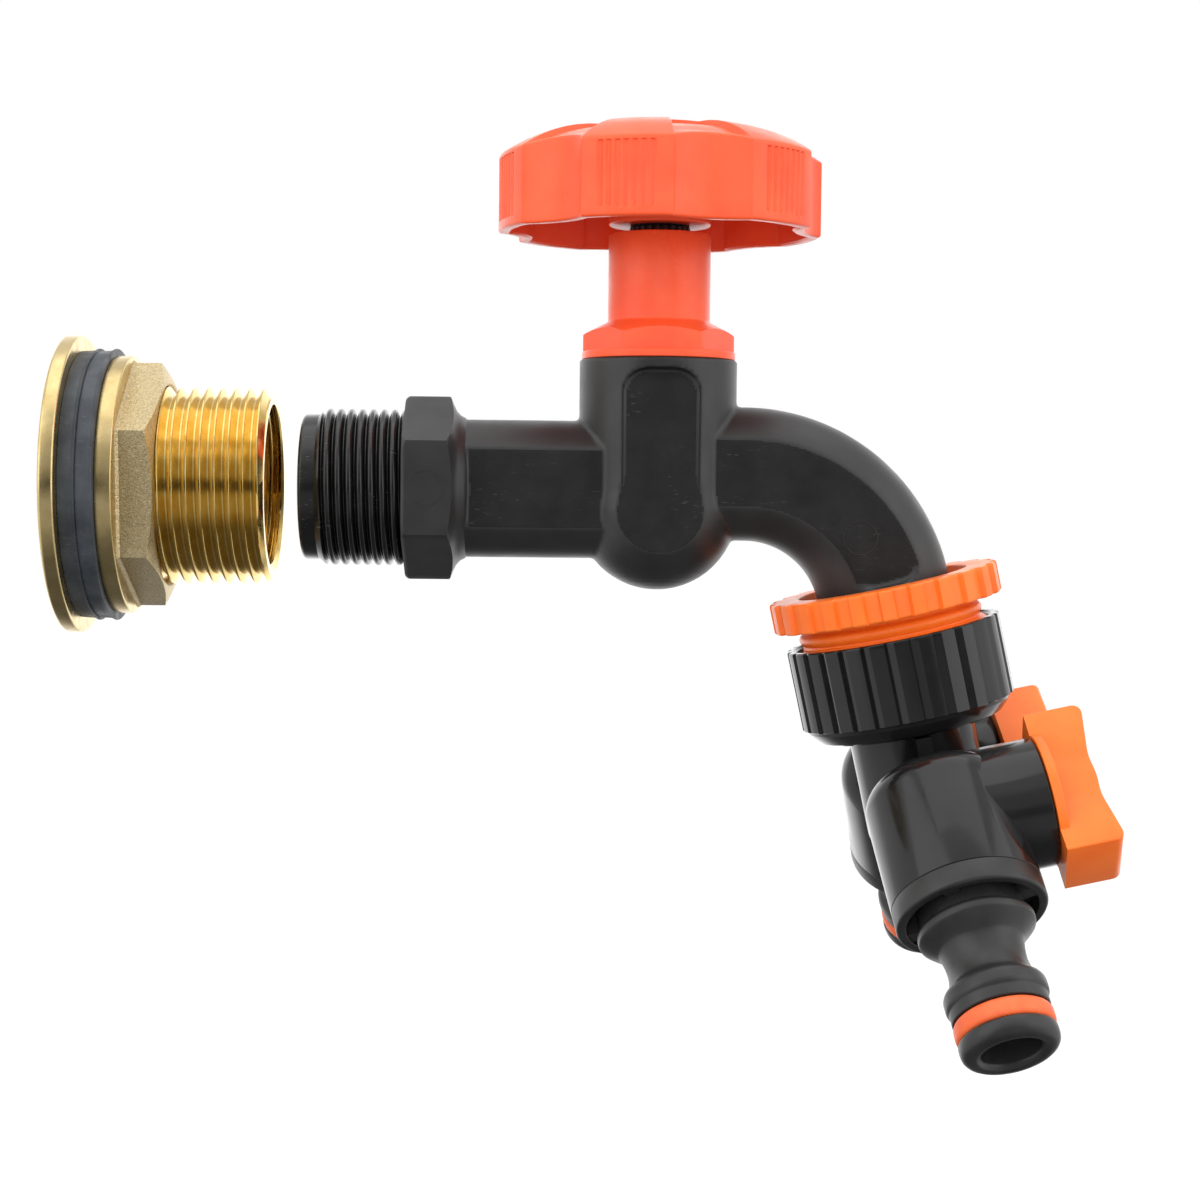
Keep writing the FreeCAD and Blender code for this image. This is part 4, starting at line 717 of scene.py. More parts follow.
@dataclass
class TankConnector:
    """Brass connector that clamps the wall of the butt, with two washers and a backnut."""

    flange_radius: float = 25.0
    flange_thick: float = 2.6
    bore: float = 11.5
    tube_len: float = 31.8
    socket_len: float = 18.0
    thread_start: float = 0.3
    mouth_chamfer: float = 0.9
    washer_radius: float = 22.7
    washer_bore: float = 16.83
    washer_thick: float = 2.83
    collar_radius: float = 21.65
    collar_thick: float = 2.8
    hex_flats: float = 35.6
    hex_thick: float = 5.9
    hex_clock: float = 5.0
    hex_slope: float = 0.42
    hex_fillet: float = 0.5
    thread: PipeThread = PipeThread(16.625, 2.309, 1.48)
    socket: PipeThread = PipeThread(13.28, 1.814, 1.05, inside=True)

    def connector(self) -> BMesh:
        """Return the flanged tube with its outer and inner threads."""
        start, end, floor = self.thread_start, self.tube_len, self.tube_len - self.socket_len
        foot, flange, thick = self.thread.root, self.flange_radius, self.flange_thick

        def outer(radius: float, angle: float, height: float) -> Point:
            """Chamfer the mouth of the outer thread."""
            return min(radius, foot + 0.55 + (end - height) / self.mouth_chamfer), height

        def inner(radius: float, angle: float, height: float) -> Point:
            """Chamfer the mouth of the inner thread."""
            return max(radius, self.socket.crest + 0.6 - (end - height)), height

        skin = joined(reshape(self.thread.sheet(start, end), outer),
                      reshape(self.socket.sheet(floor, end), inner))
        bmesh.ops.bridge_loops(skin, edges=rim_at(skin, end))
        bmesh.ops.bridge_loops(skin, edges=rim_at(skin, start) + rim_at(skin, floor))
        core = turned([
            (self.bore, -thick, 0.4), (flange, -thick, 0.6), (flange, 0, 0.5), (foot - 0.3, 0),
            (foot - 0.3, floor - 0.1), (self.bore, floor - 0.1, 0.2)], FINE_STEPS)
        # The threads take the second finish, the lighter brass whose colour is painted light.
        return joined(painted(core, 0), painted(cleaned(skin), 1))

    def washer(self) -> BMesh:
        """Return a moulded washer with the thin lip that its mould leaves."""
        thick, out, bore = self.washer_thick, self.washer_radius, self.washer_bore
        shell = turned([
            (bore, 0.02), (out - 0.25, 0.02, 0.1), (out - 0.12, thick - 0.6, 0.15),
            (out + 0.2, thick - 0.14, 0.05), (out, thick - 0.02), (bore, thick - 0.02)], FINE_STEPS)

        def wavy(radius: float, angle: float, height: float) -> Point:
            """Let the outside wander a little, as soft rubber does."""
            if radius < out - 1:
                return radius, height
            return radius + 0.04 * math.sin(3 * angle + 1) + 0.03 * math.sin(7 * angle), height

        return reshape(shell, wavy)

    def backnut(self) -> BMesh:
        """Return the turned collar and the cast hexagon of the backnut."""
        bore, low, high = self.thread.crest + 0.06, self.collar_thick, self.collar_thick + self.hex_thick
        collar = turned([
            (bore, 0, 0.2), (self.collar_radius, 0, 0.25), (self.collar_radius, low, 0.35),
            (bore, low)], FINE_STEPS)
        corner = hex_corner(self.hex_flats)
        hexagon = turned([
            (bore, low - 0.4), (corner + 0.4, low - 0.4), (corner + 0.4, low + 0.05), (corner, low + 0.55),
            (corner, high - 1.25, 0.15), (corner - 3.0, high, 0.2), (bore + 0.4, high),
            (bore, high - 0.4)], FINE_STEPS)

        def flatted(radius: float, angle: float, height: float) -> Point:
            """Trim the outside to six flats, with a small fillet at the collar."""
            fillet = max(0.0, self.hex_fillet - max(0.0, height - low))
            reach = flat_reach(angle, self.hex_flats, math.radians(self.hex_clock)) + fillet
            return faceted(radius, height, reach, high - 1.6, self.hex_slope)

        return joined(painted(collar, 0), painted(reshape(hexagon, flatted), 1))

    def build(self) -> None:
        """Make and dress the connector, the washers and the backnut."""
        place, thick = LAYOUT.inlet(), self.washer_thick
        # The connector's thread is dressed in the lighter brass, whose colour is painted light.
        settle("connector_turning", self.connector(), place, [TURNED_BRASS, LIT_THREAD_BRASS], "connector",
               "brass", "tank_connector", crease=24)
        for name, body, start in (("inner_washer", "connector", 0), ("outer_washer", "outer_washer", thick)):
            settle(name + "_ring", self.washer(), place @ shift(z=start), [WASHER_RUBBER], body,
                   "rubber_grey", name)
        settle("backnut_casting", self.backnut(), place @ shift(z=2 * thick), [TURNED_BRASS, CAST_BRASS],
               "backnut", "brass", "backnut")


@dataclass
class TapBody:
    """Black moulded body: threaded inlet, hexagon collar, barrel, chamber and bent spout."""

    reach: float = 59.8
    lead_radius: float = 12.25
    lead_len: float = 2.8
    thread_len: float = 14.3
    run_in_rise: float = 0.8
    collar_len: float = 8.7
    collar_flats: float = 27.0
    collar_slope: float = 0.35
    bore: float = 8.5
    barrel_radius: float = 11.65
    barrel_flat: float = 19.2
    flare_len: float = 1.1
    blend_len: float = 2.1
    chamber_radius: float = 13.35
    chamber_top: float = 22.0
    chamber_foot: float = -0.2
    bowl_radius: float = 13.7
    bowl_drop: float = 3.2
    panel_flat: float = 23.32
    panel_width: float = 12.7
    panel_top: float = 20.1
    panel_round: float = 4.2
    panel_lean: float = 0.7
    bowl_panel_width: float = 20.7
    cutter_thick: float = 8.0
    cutter_sink: float = 0.15
    spout_radius: float = 11.35
    spout_rise: float = 2.9
    spout_run: float = 14.9
    bend_radius: float = 24.6
    bend_turn: float = 80.5
    bend_steps: int = 90
    spout_flat: float = 19.7
    flat_end: float = 74.6
    flat_end_round: float = 5.0
    flat_end_reach: float = 5.7
    flat_end_step: float = 1.6
    outlet_radius: float = 13.2
    outlet_bore: float = 8.2
    outlet_len: float = 10.6
    mark_radius: float = 2.8
    spout_mark: Point = (33.5, -7.6)
    collar_mark: Point = (-38.5, 0.0)
    grained_facing: float = 0.985
    skin_voxel: float = 0.35
    skin_rounds: int = 2
    thread: PipeThread = PipeThread(13.22, 1.814, 1.16, SOFT_TOOTH)

    @property
    def collar_start(self) -> float:
        """Where the collar begins along the inlet."""
        return self.lead_len + self.thread_len - self.reach

    @property
    def collar_end(self) -> float:
        """Where the collar ends along the inlet."""
        return self.collar_start + self.collar_len

    def inlet(self) -> BMesh:
        """Return the plain lead and the thread with its run-in."""
        low, high = self.lead_len - self.reach, self.collar_start + 0.1
        lead, foot = self.lead_radius, self.thread.root - 0.05
        core = turned([
            (self.bore, -self.reach, 0.4), (lead, -self.reach, 0.7), (lead, low + 0.2, 0.15),
            (foot, low + 0.3), (foot, high), (self.bore, high)])

        def run_in(radius: float, angle: float, height: float) -> Point:
            """Let the thread rise out of the lead."""
            return min(radius, lead + 0.05 + (height - low) * self.run_in_rise), height

        skin = reshape(self.thread.sheet(low - 0.2, high), run_in)
        return joined(core, sleeve(skin, low - 0.2, high, self.bore + 1.5))

    def collar(self) -> BMesh:
        """Return the hexagon collar with its sloping back."""
        start, end, foot = self.collar_start, self.collar_end - self.flare_len, self.barrel_radius
        corner = hex_corner(self.collar_flats) - 0.1
        shell = turned([
            (self.bore, start), (corner, start, 0.8), (corner, end, 0.2), (foot + 2.5, end + 0.5),
            (foot + 1.4, end + 1.05), (foot + 0.65, end + 1.75), (foot + 0.2, end + 2.6),
            (foot - 0.4, end + 3.0), (self.bore, end + 3.0)], FINE_STEPS)

        def flatted(radius: float, angle: float, height: float) -> Point:
            """Trim the outside to six flats with slightly soft edges."""
            edge = 0.25 * max(0.0, 1 - (height - start) / 0.5)
            reach = flat_reach(angle, self.collar_flats) - edge
            return faceted(radius, height, reach, end - 0.3, self.collar_slope)

        return reshape(shell, flatted)

    def barrel(self) -> BMesh:
        """Return the flatted barrel, hollow as far as the chamber."""
        start, blend, out = self.collar_end - 0.6, self.collar_end + self.blend_len, self.barrel_radius
        shell = turned([
            (self.bore, start), (out, start), (out, blend - 0.7), (out, blend - 0.1), (out, 0),
            (self.bore, 0)], MOULD_STEPS)
        for vert in shell.verts:
            if vert.co.z > blend - 0.3 and abs(vert.co.y) > self.barrel_flat / 2:
                vert.co.y = math.copysign(self.barrel_flat / 2, vert.co.y)
        return moved(shell, turn_about("Y", 90))

    def chamber(self) -> BMesh:
        """Return the upright chamber with its rounded bottom and its two panels."""
        bowl, bottom = self.bowl_radius, -self.bowl_drop - self.bowl_radius
        shell = turned([
            (0, self.chamber_top), (self.chamber_radius, self.chamber_top),
            (self.chamber_radius, self.chamber_foot), (bowl, -self.bowl_drop), (bowl, bottom, bowl - 0.02),
            (0, bottom)], MOULD_STEPS)
        out = (self.panel_flat + self.cutter_thick) / 2 - self.cutter_sink
        for side in Side:
            place = shift(y=side.value * out) @ turn_about("X", side.value * self.panel_lean)
            panel = self.cutter(self.panel_width, -2.0, self.panel_top)
            upper = edges_where(panel, lambda a, b: min(a.z, b.z) > self.panel_top - TOUCH
                                and abs(a.x - b.x) < TOUCH)
            bevelled(panel, upper, self.panel_round, 10)
            for tool in (panel, self.cutter(self.bowl_panel_width, bottom - 4, 1.0)):
                shell = carved(shell, moved(tool, place), Joinery.CUT)
        return shell

    def cutter(self, width: float, low: float, high: float) -> BMesh:
        """Return a block that cuts a panel of a width between two heights."""
        return slab((width, self.cutter_thick, high - low), (0, 0, (low + high) / 2))

    def spout(self) -> BMesh:
        """Return the run and the bend, with flats that end in a rounded step."""
        shell = bmesh.new()
        run, radius = self.spout_run, self.spout_radius
        bmesh.ops.create_circle(shell, cap_ends=True, radius=radius, segments=MOULD_STEPS,
                                matrix=shift(z=self.spout_rise) @ turn_about("Y", 90))
        made = bmesh.ops.extrude_face_region(shell, geom=shell.faces[:])["geom"]
        bmesh.ops.translate(shell, vec=(run, 0, 0), verts=[part for part in made if isinstance(part, BMVert)])
        tip = [part for part in made if isinstance(part, BMFace)]
        centre = Vector((run, 0, self.spout_rise - self.bend_radius))
        bmesh.ops.spin(shell, geom=tip, cent=centre, axis=(0, 1, 0), angle=math.radians(self.bend_turn),
                       steps=self.bend_steps, use_merge=False)
        flat = self.spout_flat / 2
        for vert in cleaned(shell).verts:
            arm = vert.co - centre
            angle = math.degrees(math.atan2(arm.x, arm.z)) if vert.co.x > run else 0.0
            offset = abs(math.hypot(arm.x, arm.z) - self.bend_radius) if angle else 0.0
            end = self.flat_end - self.flat_end_round * min(1.0, offset / self.flat_end_reach) ** 4
            limit = flat + (radius - flat) * clamped((angle - end) / self.flat_end_step)
            if abs(vert.co.y) > limit:
                vert.co.y = math.copysign(limit, vert.co.y)
        return shell

    def outlet(self) -> BMesh:
        """Return the outlet inside the adapter, in the union's frame."""
        out, bore, end = self.outlet_radius, self.outlet_bore, -1.7 - self.outlet_len
        return turned([(bore, -1.72), (out, -1.72, 0.2), (out, end, 0.4), (bore, end)])

    def ring_mark(self, x: float, z: float, flats: float) -> BMesh:
        """Return a thin raised ring on a front flat."""
        middle = self.mark_radius
        shell = turned([
            (middle - 0.12, -0.2), (middle - 0.04, 0.07, 0.03), (middle + 0.04, 0.07, 0.03),
            (middle + 0.12, -0.2)], SMALL_STEPS)
        return moved(shell, shift(x, -flats / 2, z) @ turn_about("X", 90))

    def build(self) -> None:
        """Make and dress the body."""
        skin = melted(joined(self.barrel(), self.chamber(), self.spout()), self.skin_voxel, self.skin_rounds)
        for face in skin.faces:
            low = abs(face.calc_center_median().y) < self.panel_flat / 2 + 0.1
            face.material_index = int(low and abs(face.normal.y) > self.grained_facing)
        settle("tap_body_moulding", skin, LAYOUT.tap(), [SATIN_BLACK, GRAINED_BLACK], "tap", "black_satin",
               "tap_body", crease=60)
        marks = joined(self.ring_mark(*self.spout_mark, self.spout_flat),
                       self.ring_mark(*self.collar_mark, self.collar_flats))
        for name, shell, place, finish in (
                ("tap_inlet_thread", self.inlet(), LAYOUT.tap_inlet(), THREAD_BLACK),
                ("tap_ring_marks", marks, LAYOUT.tap(), SATIN_BLACK),
                ("tap_collar", self.collar(), LAYOUT.tap_inlet(), SATIN_BLACK),
                ("tap_outlet", self.outlet(), LAYOUT.union_top(), SATIN_BLACK)):
            settle(name, shell, place, [finish], "tap", "black_satin")


@dataclass
class Headwork:
    """Orange bonnet and handwheel with the black spindle between them."""

    foot: float = 22.0
    flange_radius: float = 13.0
    flange_thick: float = 1.3
    spigot_radius: float = 10.35
    spigot_foot: float = -9.9
    hex_flats: float = 22.3
    hex_top: float = 6.2
    hex_slope: float = 0.52
    neck_radius: float = 8.65
    neck_top: float = 21.1
    bonnet_bore: float = 5.15
    spindle_radius: float = 5.1
    spindle_foot: float = 9.0
    spindle_bore: float = 3.05
    spindle_top: float = 55.7
    spindle_shoulder: float = 44.5
    ring_groove: float = 3.6
    screw_socket: float = 1.95
    spline_radius: float = 4.8
    spline_depth: float = 0.42
    spline_start: float = 40.2
    teeth: int = 24
    wheel_foot: float = 43.06
    wheel_radius: float = 27.3
    wheel_skirt: float = 12.6
    wheel_height: float = 17.6
    wheel_wall: float = 2.2
    wheel_hollow: float = 11.8
    wheel_bore: float = 5.02
    wheel_clock: float = 15.5
    wheel_steps: int = 1080
    valley_depth: float = 2.5
    pressed_from_hub: float = 4.0
    hub_radius: float = 8.65
    hub_rise: float = 1.54
    ribs: int = 7
    rib_pitch: float = 1.42
    rib_depth: float = 0.36
    rib_foot: float = 1.6
    lobe_part: float = 60.0
    lobe_half: float = 15.8333
    lobe_edge: float = 0.66
    disc_radius: float = 11.25
    dome_round: float = 28.26
    dome_step: float = 1.0
    dome_slope: float = 4.2
    dome_rings: tuple[float, ...] = (26.6, 25.9, 25.0, 23.9, 22.6, 21.0, 19.0, 16.8, 14.4, 12.4, 11.55)
    screw_seat: float = 2.25
    screw_head: float = 3.6
    screw_top: float = 2.0
    screw_shank: float = 1.9
    screw_len: float = 8.9
    recess: Point = (3.6, 0.7)

    def bonnet(self) -> BMesh:
        """Return the bonnet: flange, hexagon with a sloping top, and neck."""
        corner, bore, spigot = hex_corner(self.hex_flats) - 0.05, self.bonnet_bore, self.spigot_radius
        flange, thick, top, neck = self.flange_radius, self.flange_thick, self.hex_top, self.neck_radius
        shell = turned([
            (bore, self.spigot_foot), (spigot, self.spigot_foot, 0.3), (spigot, -0.01), (flange, 0.0, 0.15),
            (flange, thick, 0.3), (corner, thick + 0.05), (corner, top - 2.0, 0.12),
            (neck + 0.3, top, 0.12), (neck, top + 0.3, 0.15), (neck, top + 5.0),
            (neck, self.neck_top, 0.25), (bore, self.neck_top, 0.2)], FINE_STEPS)

        def flatted(radius: float, angle: float, height: float) -> Point:
            """Trim the hexagon's outside."""
            if thick + 0.02 < height < top + 0.3:
                return faceted(radius, height, flat_reach(angle, self.hex_flats), top - 2.5, self.hex_slope)
            return radius, height

        return reshape(shell, flatted)

    def spindle(self) -> BMesh:
        """Return the spindle with its splined top."""
        top, shoulder, out = self.spindle_top, self.spindle_shoulder, self.spindle_radius
        spline, foot, start = self.spline_radius, self.spindle_foot, self.spline_start
        bore, groove, socket = self.spindle_bore, self.ring_groove, self.screw_socket
        shell = turned([
            (bore, foot), (out, foot, 0.2), (out, 35.95), (groove, 35.95), (groove, 37.65), (out, 37.65),
            (out, start - 0.2), (out, start + 0.1), (out, shoulder - 0.3), (out - 0.3, shoulder),
            (spline, shoulder), (spline, top), (socket, top), (socket, 46.8), (0, 46.8), (0, 15.1),
            (bore, 15.1)], self.teeth * 8)

        def splined(radius: float, angle: float, height: float) -> Point:
            """Cut the grooves between the teeth."""
            if height < start or radius < spline - 0.3:
                return radius, height
            return radius - self.spline_depth * max(0.0, math.cos(self.teeth * angle)) ** 0.5, height

        return reshape(shell, splined)

    def from_lobe(self, angle: float) -> float:
        """Return how many degrees a direction lies to the side of the nearest lobe's middle."""
        half = self.lobe_part / 2
        return (math.degrees(angle) - self.wheel_clock + half) % self.lobe_part - half

    def valley(self, angle: float) -> float:
        """Return how deep the wall is pressed in at a direction, from 0 on a lobe to 1 between two."""
        half = self.lobe_part / 2
        off = (half - abs(self.from_lobe(angle))) / (half - self.lobe_half)
        return (1 - off ** 2) ** 0.8 if off < 1 else 0.0

    def rib(self, angle: float) -> float:
        """Return the depth share of the grip's grooves in a direction."""
        across = math.radians(self.from_lobe(angle)) * self.wheel_radius / self.rib_pitch
        return 0.5 + 0.5 * math.cos(FULL_TURN * across) if abs(across) <= self.ribs / 2 else 0.0

    def dome(self, radius: float) -> float:
        """Return the height of the wheel's dome at a radius."""
        out = max(0.0, radius - self.disc_radius)
        return self.wheel_height - self.dome_round + math.sqrt(self.dome_round ** 2 - out ** 2)

    def wheel(self) -> BMesh:
        """Return the lobed wheel: a hollow dome with ribbed lobes and a hub."""
        outer, skirt, top, hub = self.wheel_radius, self.wheel_skirt, self.wheel_height, self.hub_radius
        inside, hollow, disc = outer - self.wheel_wall, self.wheel_hollow, self.disc_radius
        bore, seat = self.wheel_bore, top - self.screw_seat
        outline = [(bore, self.hub_rise), (hub, self.hub_rise, 0.35), (hub, hollow, 0.8),
                   (inside - 1.2, hollow, 1.4), (inside, 5.5), (inside + 0.15, 0.35),
                   (inside + 0.5, 0.0, 0.15), (outer, 0.0, 0.5), (outer, self.rib_foot - 0.1),
                   (outer, self.rib_foot + 0.15),
                   (outer, skirt - 0.8), (outer, skirt - 0.6), (outer, skirt, 0.4)]
        outline += [(radius, self.dome(radius)) for radius in self.dome_rings]
        outline += [(disc, top, 0.1), (3.9, top, 0.2), (3.9, seat), (2.0, seat), (2.0, 11.5), (bore, 11.5)]

        def lobed(radius: float, angle: float, height: float) -> Point:
            """Press the hollows into the wall and the dome, and groove the lobes."""
            pressed, start = self.valley_depth * self.valley(angle), hub + self.pressed_from_hub
            if height < hollow + TOUCH and radius < inside + 0.2:
                reach = max(0.0, (radius - start) / (inside - start))
                return radius - pressed * reach ** 2, height
            if radius < disc + 0.15:
                return radius, height
            sunk = clamped((abs(self.from_lobe(angle)) - self.lobe_half + 0.05) / self.lobe_edge)
            rim = outer - pressed

            def level(spot: float) -> float:
                """Return the height of the lobe or the hollow at a radius."""
                return self.dome(spot) - sunk * self.dome_step * min(1.0, (outer - spot) / self.dome_slope)

            if height > skirt - 0.5:
                spot = disc + (radius - disc) * (rim - disc) / (outer - disc)
                return spot, level(spot) + height - self.dome(radius)
            groove = self.rib_depth * self.rib(angle) if self.rib_foot < height < skirt - 0.7 else 0.0
            return radius - pressed - groove, height * level(rim) / skirt

        return reshape(turned(outline, self.wheel_steps), lobed)

    def wheel_screw(self) -> BMesh:
        """Return the pan head screw with a cross recess."""
        head, top, shank, end = self.screw_head, self.screw_top, self.screw_shank, -self.screw_len
        screw = turned([
            (0, end), (shank, end, 0.5), (shank, 0), (head, 0, 0.1), (head, top, 0.95), (0, top)],
            SMALL_STEPS)
        for long_way, wide_way in (self.recess, reversed(self.recess)):
            screw = carved(screw, slab((long_way, wide_way, top), (0, 0, top)), Joinery.CUT)
        return screw

    def build(self) -> None:
        """Make and dress the bonnet, the spindle and the handwheel."""
        tap = LAYOUT.tap()
        wheel = tap @ shift(z=self.wheel_foot)
        settle("bonnet_moulding", self.bonnet(), tap @ shift(z=self.foot), [WHEEL_ORANGE], "tap",
               "orange_wheel", "bonnet")
        settle("spindle_splined", self.spindle(), tap, [SATIN_BLACK], "handwheel", "black_satin", "spindle",
               crease=40)
        settle("handwheel_moulding", self.wheel(), wheel, [WHEEL_ORANGE], "handwheel", "orange_wheel",
               "handwheel", crease=28)
        settle("handwheel_screw_cross", self.wheel_screw(),
               wheel @ shift(z=self.wheel_height - self.screw_seat), [SCREW_STEEL], "handwheel", "steel",
               "handwheel_screw")


@dataclass
class Union:
    """Orange thread adapter and the black ribbed nut below it."""

    rim_radius: float = 19.6
    rim_thick: float = 5.2
    notches: int = 24
    notch_depth: float = 0.8
    notch_half: float = 0.56
    recess_radius: float = 14.5
    recess_depth: float = 1.7
    socket_radius: float = 13.28
    socket_end: float = 14.5
    bead_radius: float = 15.75
    neck_end: float = 8.3
    adapter_len: float = 17.0
    adapter_bore: float = 9.0
    nut_radius: float = 18.35
    nut_start: float = 8.57
    nut_len: float = 13.77
    skirt_len: float = 3.0
    skirt_radius: float = 14.5
    skirt_floor: float = 3.4
    nut_bore: float = 16.685
    tube_hole: float = 11.0
    ribs: int = 28
    rib_depth: float = 0.6
    rib_slope: float = 1.35
    rib_steep: float = 0.26
    rib_lean: float = 0.07
    thread: PipeThread = PipeThread(16.625, 2.309, 1.3)

    def adapter(self) -> BMesh:
        """Return the adapter: castellated rim, beaded neck and outside thread."""
        rim, thick, foot, bore = self.rim_radius, self.rim_thick, self.thread.root, self.adapter_bore
        low, high, bead = -self.adapter_len, -self.neck_end - 0.05, self.bead_radius
        recess, socket, end = self.recess_radius, self.socket_radius, -self.socket_end
        shell = turned([
            (recess, 0, 0.25), (rim, 0, 0.45), (rim, -0.6), (rim, -thick + 0.6), (rim, -thick, 0.45),
            (14.6, -thick, 0.4), (14.5, -thick - 0.7, 0.3), (bead, -thick - 1.35, 0.5),
            (bead, -thick - 2.35, 0.5), (15.2, -self.neck_end + 0.1), (foot - 0.1, -self.neck_end),
            (foot - 0.1, low + 0.2), (bore, low + 0.2), (bore, end), (socket, end),
            (socket, -self.recess_depth), (recess, -self.recess_depth, 0.3)], self.notches * 14)
        part = FULL_TURN / self.notches

        def notched(radius: float, angle: float, height: float) -> Point:
            """Press the notches into the rim, with sides that lean a little."""
            if radius < rim - 1.2 or height < -thick - TOUCH:
                return radius, height
            off = abs((angle + part / 2) % part - part / 2) / (part / 2)
            return radius - self.notch_depth * clamped((self.notch_half - off) / 0.1), height

        def run_out(radius: float, angle: float, height: float) -> Point:
            """Chamfer the foot of the thread and end it at the neck."""
            return min(radius, foot + 0.3 + (height - low), foot + (high - height) * 1.5), height

        skin = reshape(self.thread.sheet(low, high), run_out)
        return joined(reshape(shell, notched), sleeve(skin, low, high, bore + 1.0))

    def nut(self) -> BMesh:
        """Return the union nut with its stepped ribs and round skirt."""
        out, top, foot = self.nut_radius, -self.nut_start, -self.nut_start - self.nut_len
        low, bore, hole, inner = foot - self.skirt_len, self.nut_bore, self.tube_hole, out - self.rib_depth
        floor = low + self.skirt_floor
        shell = turned([
            (bore + 0.5, top), (out, top, 0.35), (out, top - 0.9), (out, foot + 0.5), (out, foot + 0.12),
            (out - 0.15, foot), (inner - 0.15, foot - 0.05), (inner - 0.35, foot - 0.7),
            (inner - 1.0, foot - 1.55), (inner - 2.0, low + 0.45), (self.skirt_radius, low, 0.2),
            (hole, low, 0.4), (hole, floor), (bore, floor, 0.3), (bore, top - 0.5)], self.ribs * 15)
        part = FULL_TURN / self.ribs

        def ribbed(radius: float, angle: float, height: float) -> Point:
            """Cut the grooves: one side steep, the other sloping."""
            if radius < bore + 0.7 or height < foot - TOUCH:
                return radius, height
            across, pitch = (angle % part) * out, part * out
            rise = min(1.0, across / self.rib_slope, (pitch - across) / self.rib_steep)
            return radius - self.rib_depth * (1 - rise) - self.rib_lean * (across / pitch), height

        return reshape(shell, ribbed)

    def build(self) -> None:
        """Make and dress the adapter and the nut."""
        place = LAYOUT.union_top()
        settle("thread_adapter_moulding", self.adapter(), place, [FITTING_ORANGE], "tap", "orange_light",
               "thread_adapter")
        settle("union_nut_moulding", self.nut(), place, [GLOSS_BLACK], "union_nut", "black_gloss",
               "union_nut", crease=20)


@dataclass
class Splitter:
    """Black body of the splitter: middle tube, web and two valve bodies with lever bosses."""

    flange_radius: float = 15.3
    flange_thick: float = 2.2
    tail_top: float = 19.4
    tube_radius: float = 10.8
    tube_end: float = 45.0
    tube_end_thick: float = 2.2
    tube_bore: float = 8.0
    web_thick: float = 2.6
    web_width: float = 30.0
    web_top: float = 25.6
    valve_radius: float = 12.25
    valve_top: float = 8.0
    valve_foot: float = 14.3
    valve_round: float = 5.0
    valve_bore: float = 9.0
    valve_floor: float = 6.1
    boss_radius: float = 10.6
    boss_reach: float = 16.2
    stem_radius: float = 4.25

    def tube(self) -> BMesh:
        """Return the flanged middle tube with its closed round end."""
        top, end, low = -self.tail_top, -self.tube_end, -self.tail_top - self.flange_thick
        floor, bore = end + self.tube_end_thick, self.tube_bore
        return turned([
            (bore, top, 0.2), (self.flange_radius, top, 0.3), (self.flange_radius, low, 0.3),
            (self.tube_radius, low, 0.4), (self.tube_radius, end, 3.0), (0, end), (0, floor),
            (bore, floor)], MOULD_STEPS)

    def web(self) -> BMesh:
        """Return the web between the nut's skirt and the valve bodies."""
        height = LAYOUT.leg_drop - self.web_top
        return slab((self.web_thick, self.web_width, height), (0, 0, -self.web_top - height / 2))

    def valve(self, side: Side) -> BMesh:
        """Return one valve body with its boss, in the splitter's frame."""
        out, foot, floor, bore = self.valve_radius, -self.valve_foot, -self.valve_floor, self.valve_bore
        shell = turned([
            (0, self.valve_top), (out, self.valve_top, self.valve_round), (out, foot, 0.18), (bore, foot),
            (bore, floor), (0, floor)], MOULD_STEPS)
        boss = turned([
            (0, 0), (self.boss_radius, 0), (self.boss_radius, self.boss_reach, 0.3),
            (self.stem_radius, self.boss_reach), (self.stem_radius, 12.0), (0, 12.0)], MOULD_STEPS)
        whole = carved(shell, moved(boss, turn_about("Y", 90)), Joinery.JOIN)
        return moved(whole, LAYOUT.leg_in_splitter(side))

    def hollows(self, side: Side) -> tuple[BMesh, BMesh]:
        """Return the spaces of a leg's ball and stem, in the splitter's frame."""
        stem = self.stem_radius
        pocket = turned([(0, -6.2), (6.75, -6.2), (6.75, 6.0), (3.7, 6.0), (3.7, 6.3), (0, 6.3)])
        stem_way = turned([(0, 6.0), (5.1, 6.0), (5.1, 10.4), (stem, 10.4), (stem, 12.2), (0, 12.2)])
        place = LAYOUT.leg_in_splitter(side)
        return moved(pocket, place), moved(stem_way, place @ turn_about("Y", 90))

    def build(self) -> None:
        """Make and dress the splitter's body."""
        body = carved(self.tube(), self.web(), Joinery.JOIN)
        for side in Side:
            body = carved(body, self.valve(side), Joinery.JOIN)
        for side in Side:
            for hollow in self.hollows(side):
                body = carved(body, hollow, Joinery.CUT)
        settle("splitter_moulding", body, LAYOUT.splitter(), [GLOSS_BLACK], "splitter", "black_gloss",
               "splitter_body", crease=30)


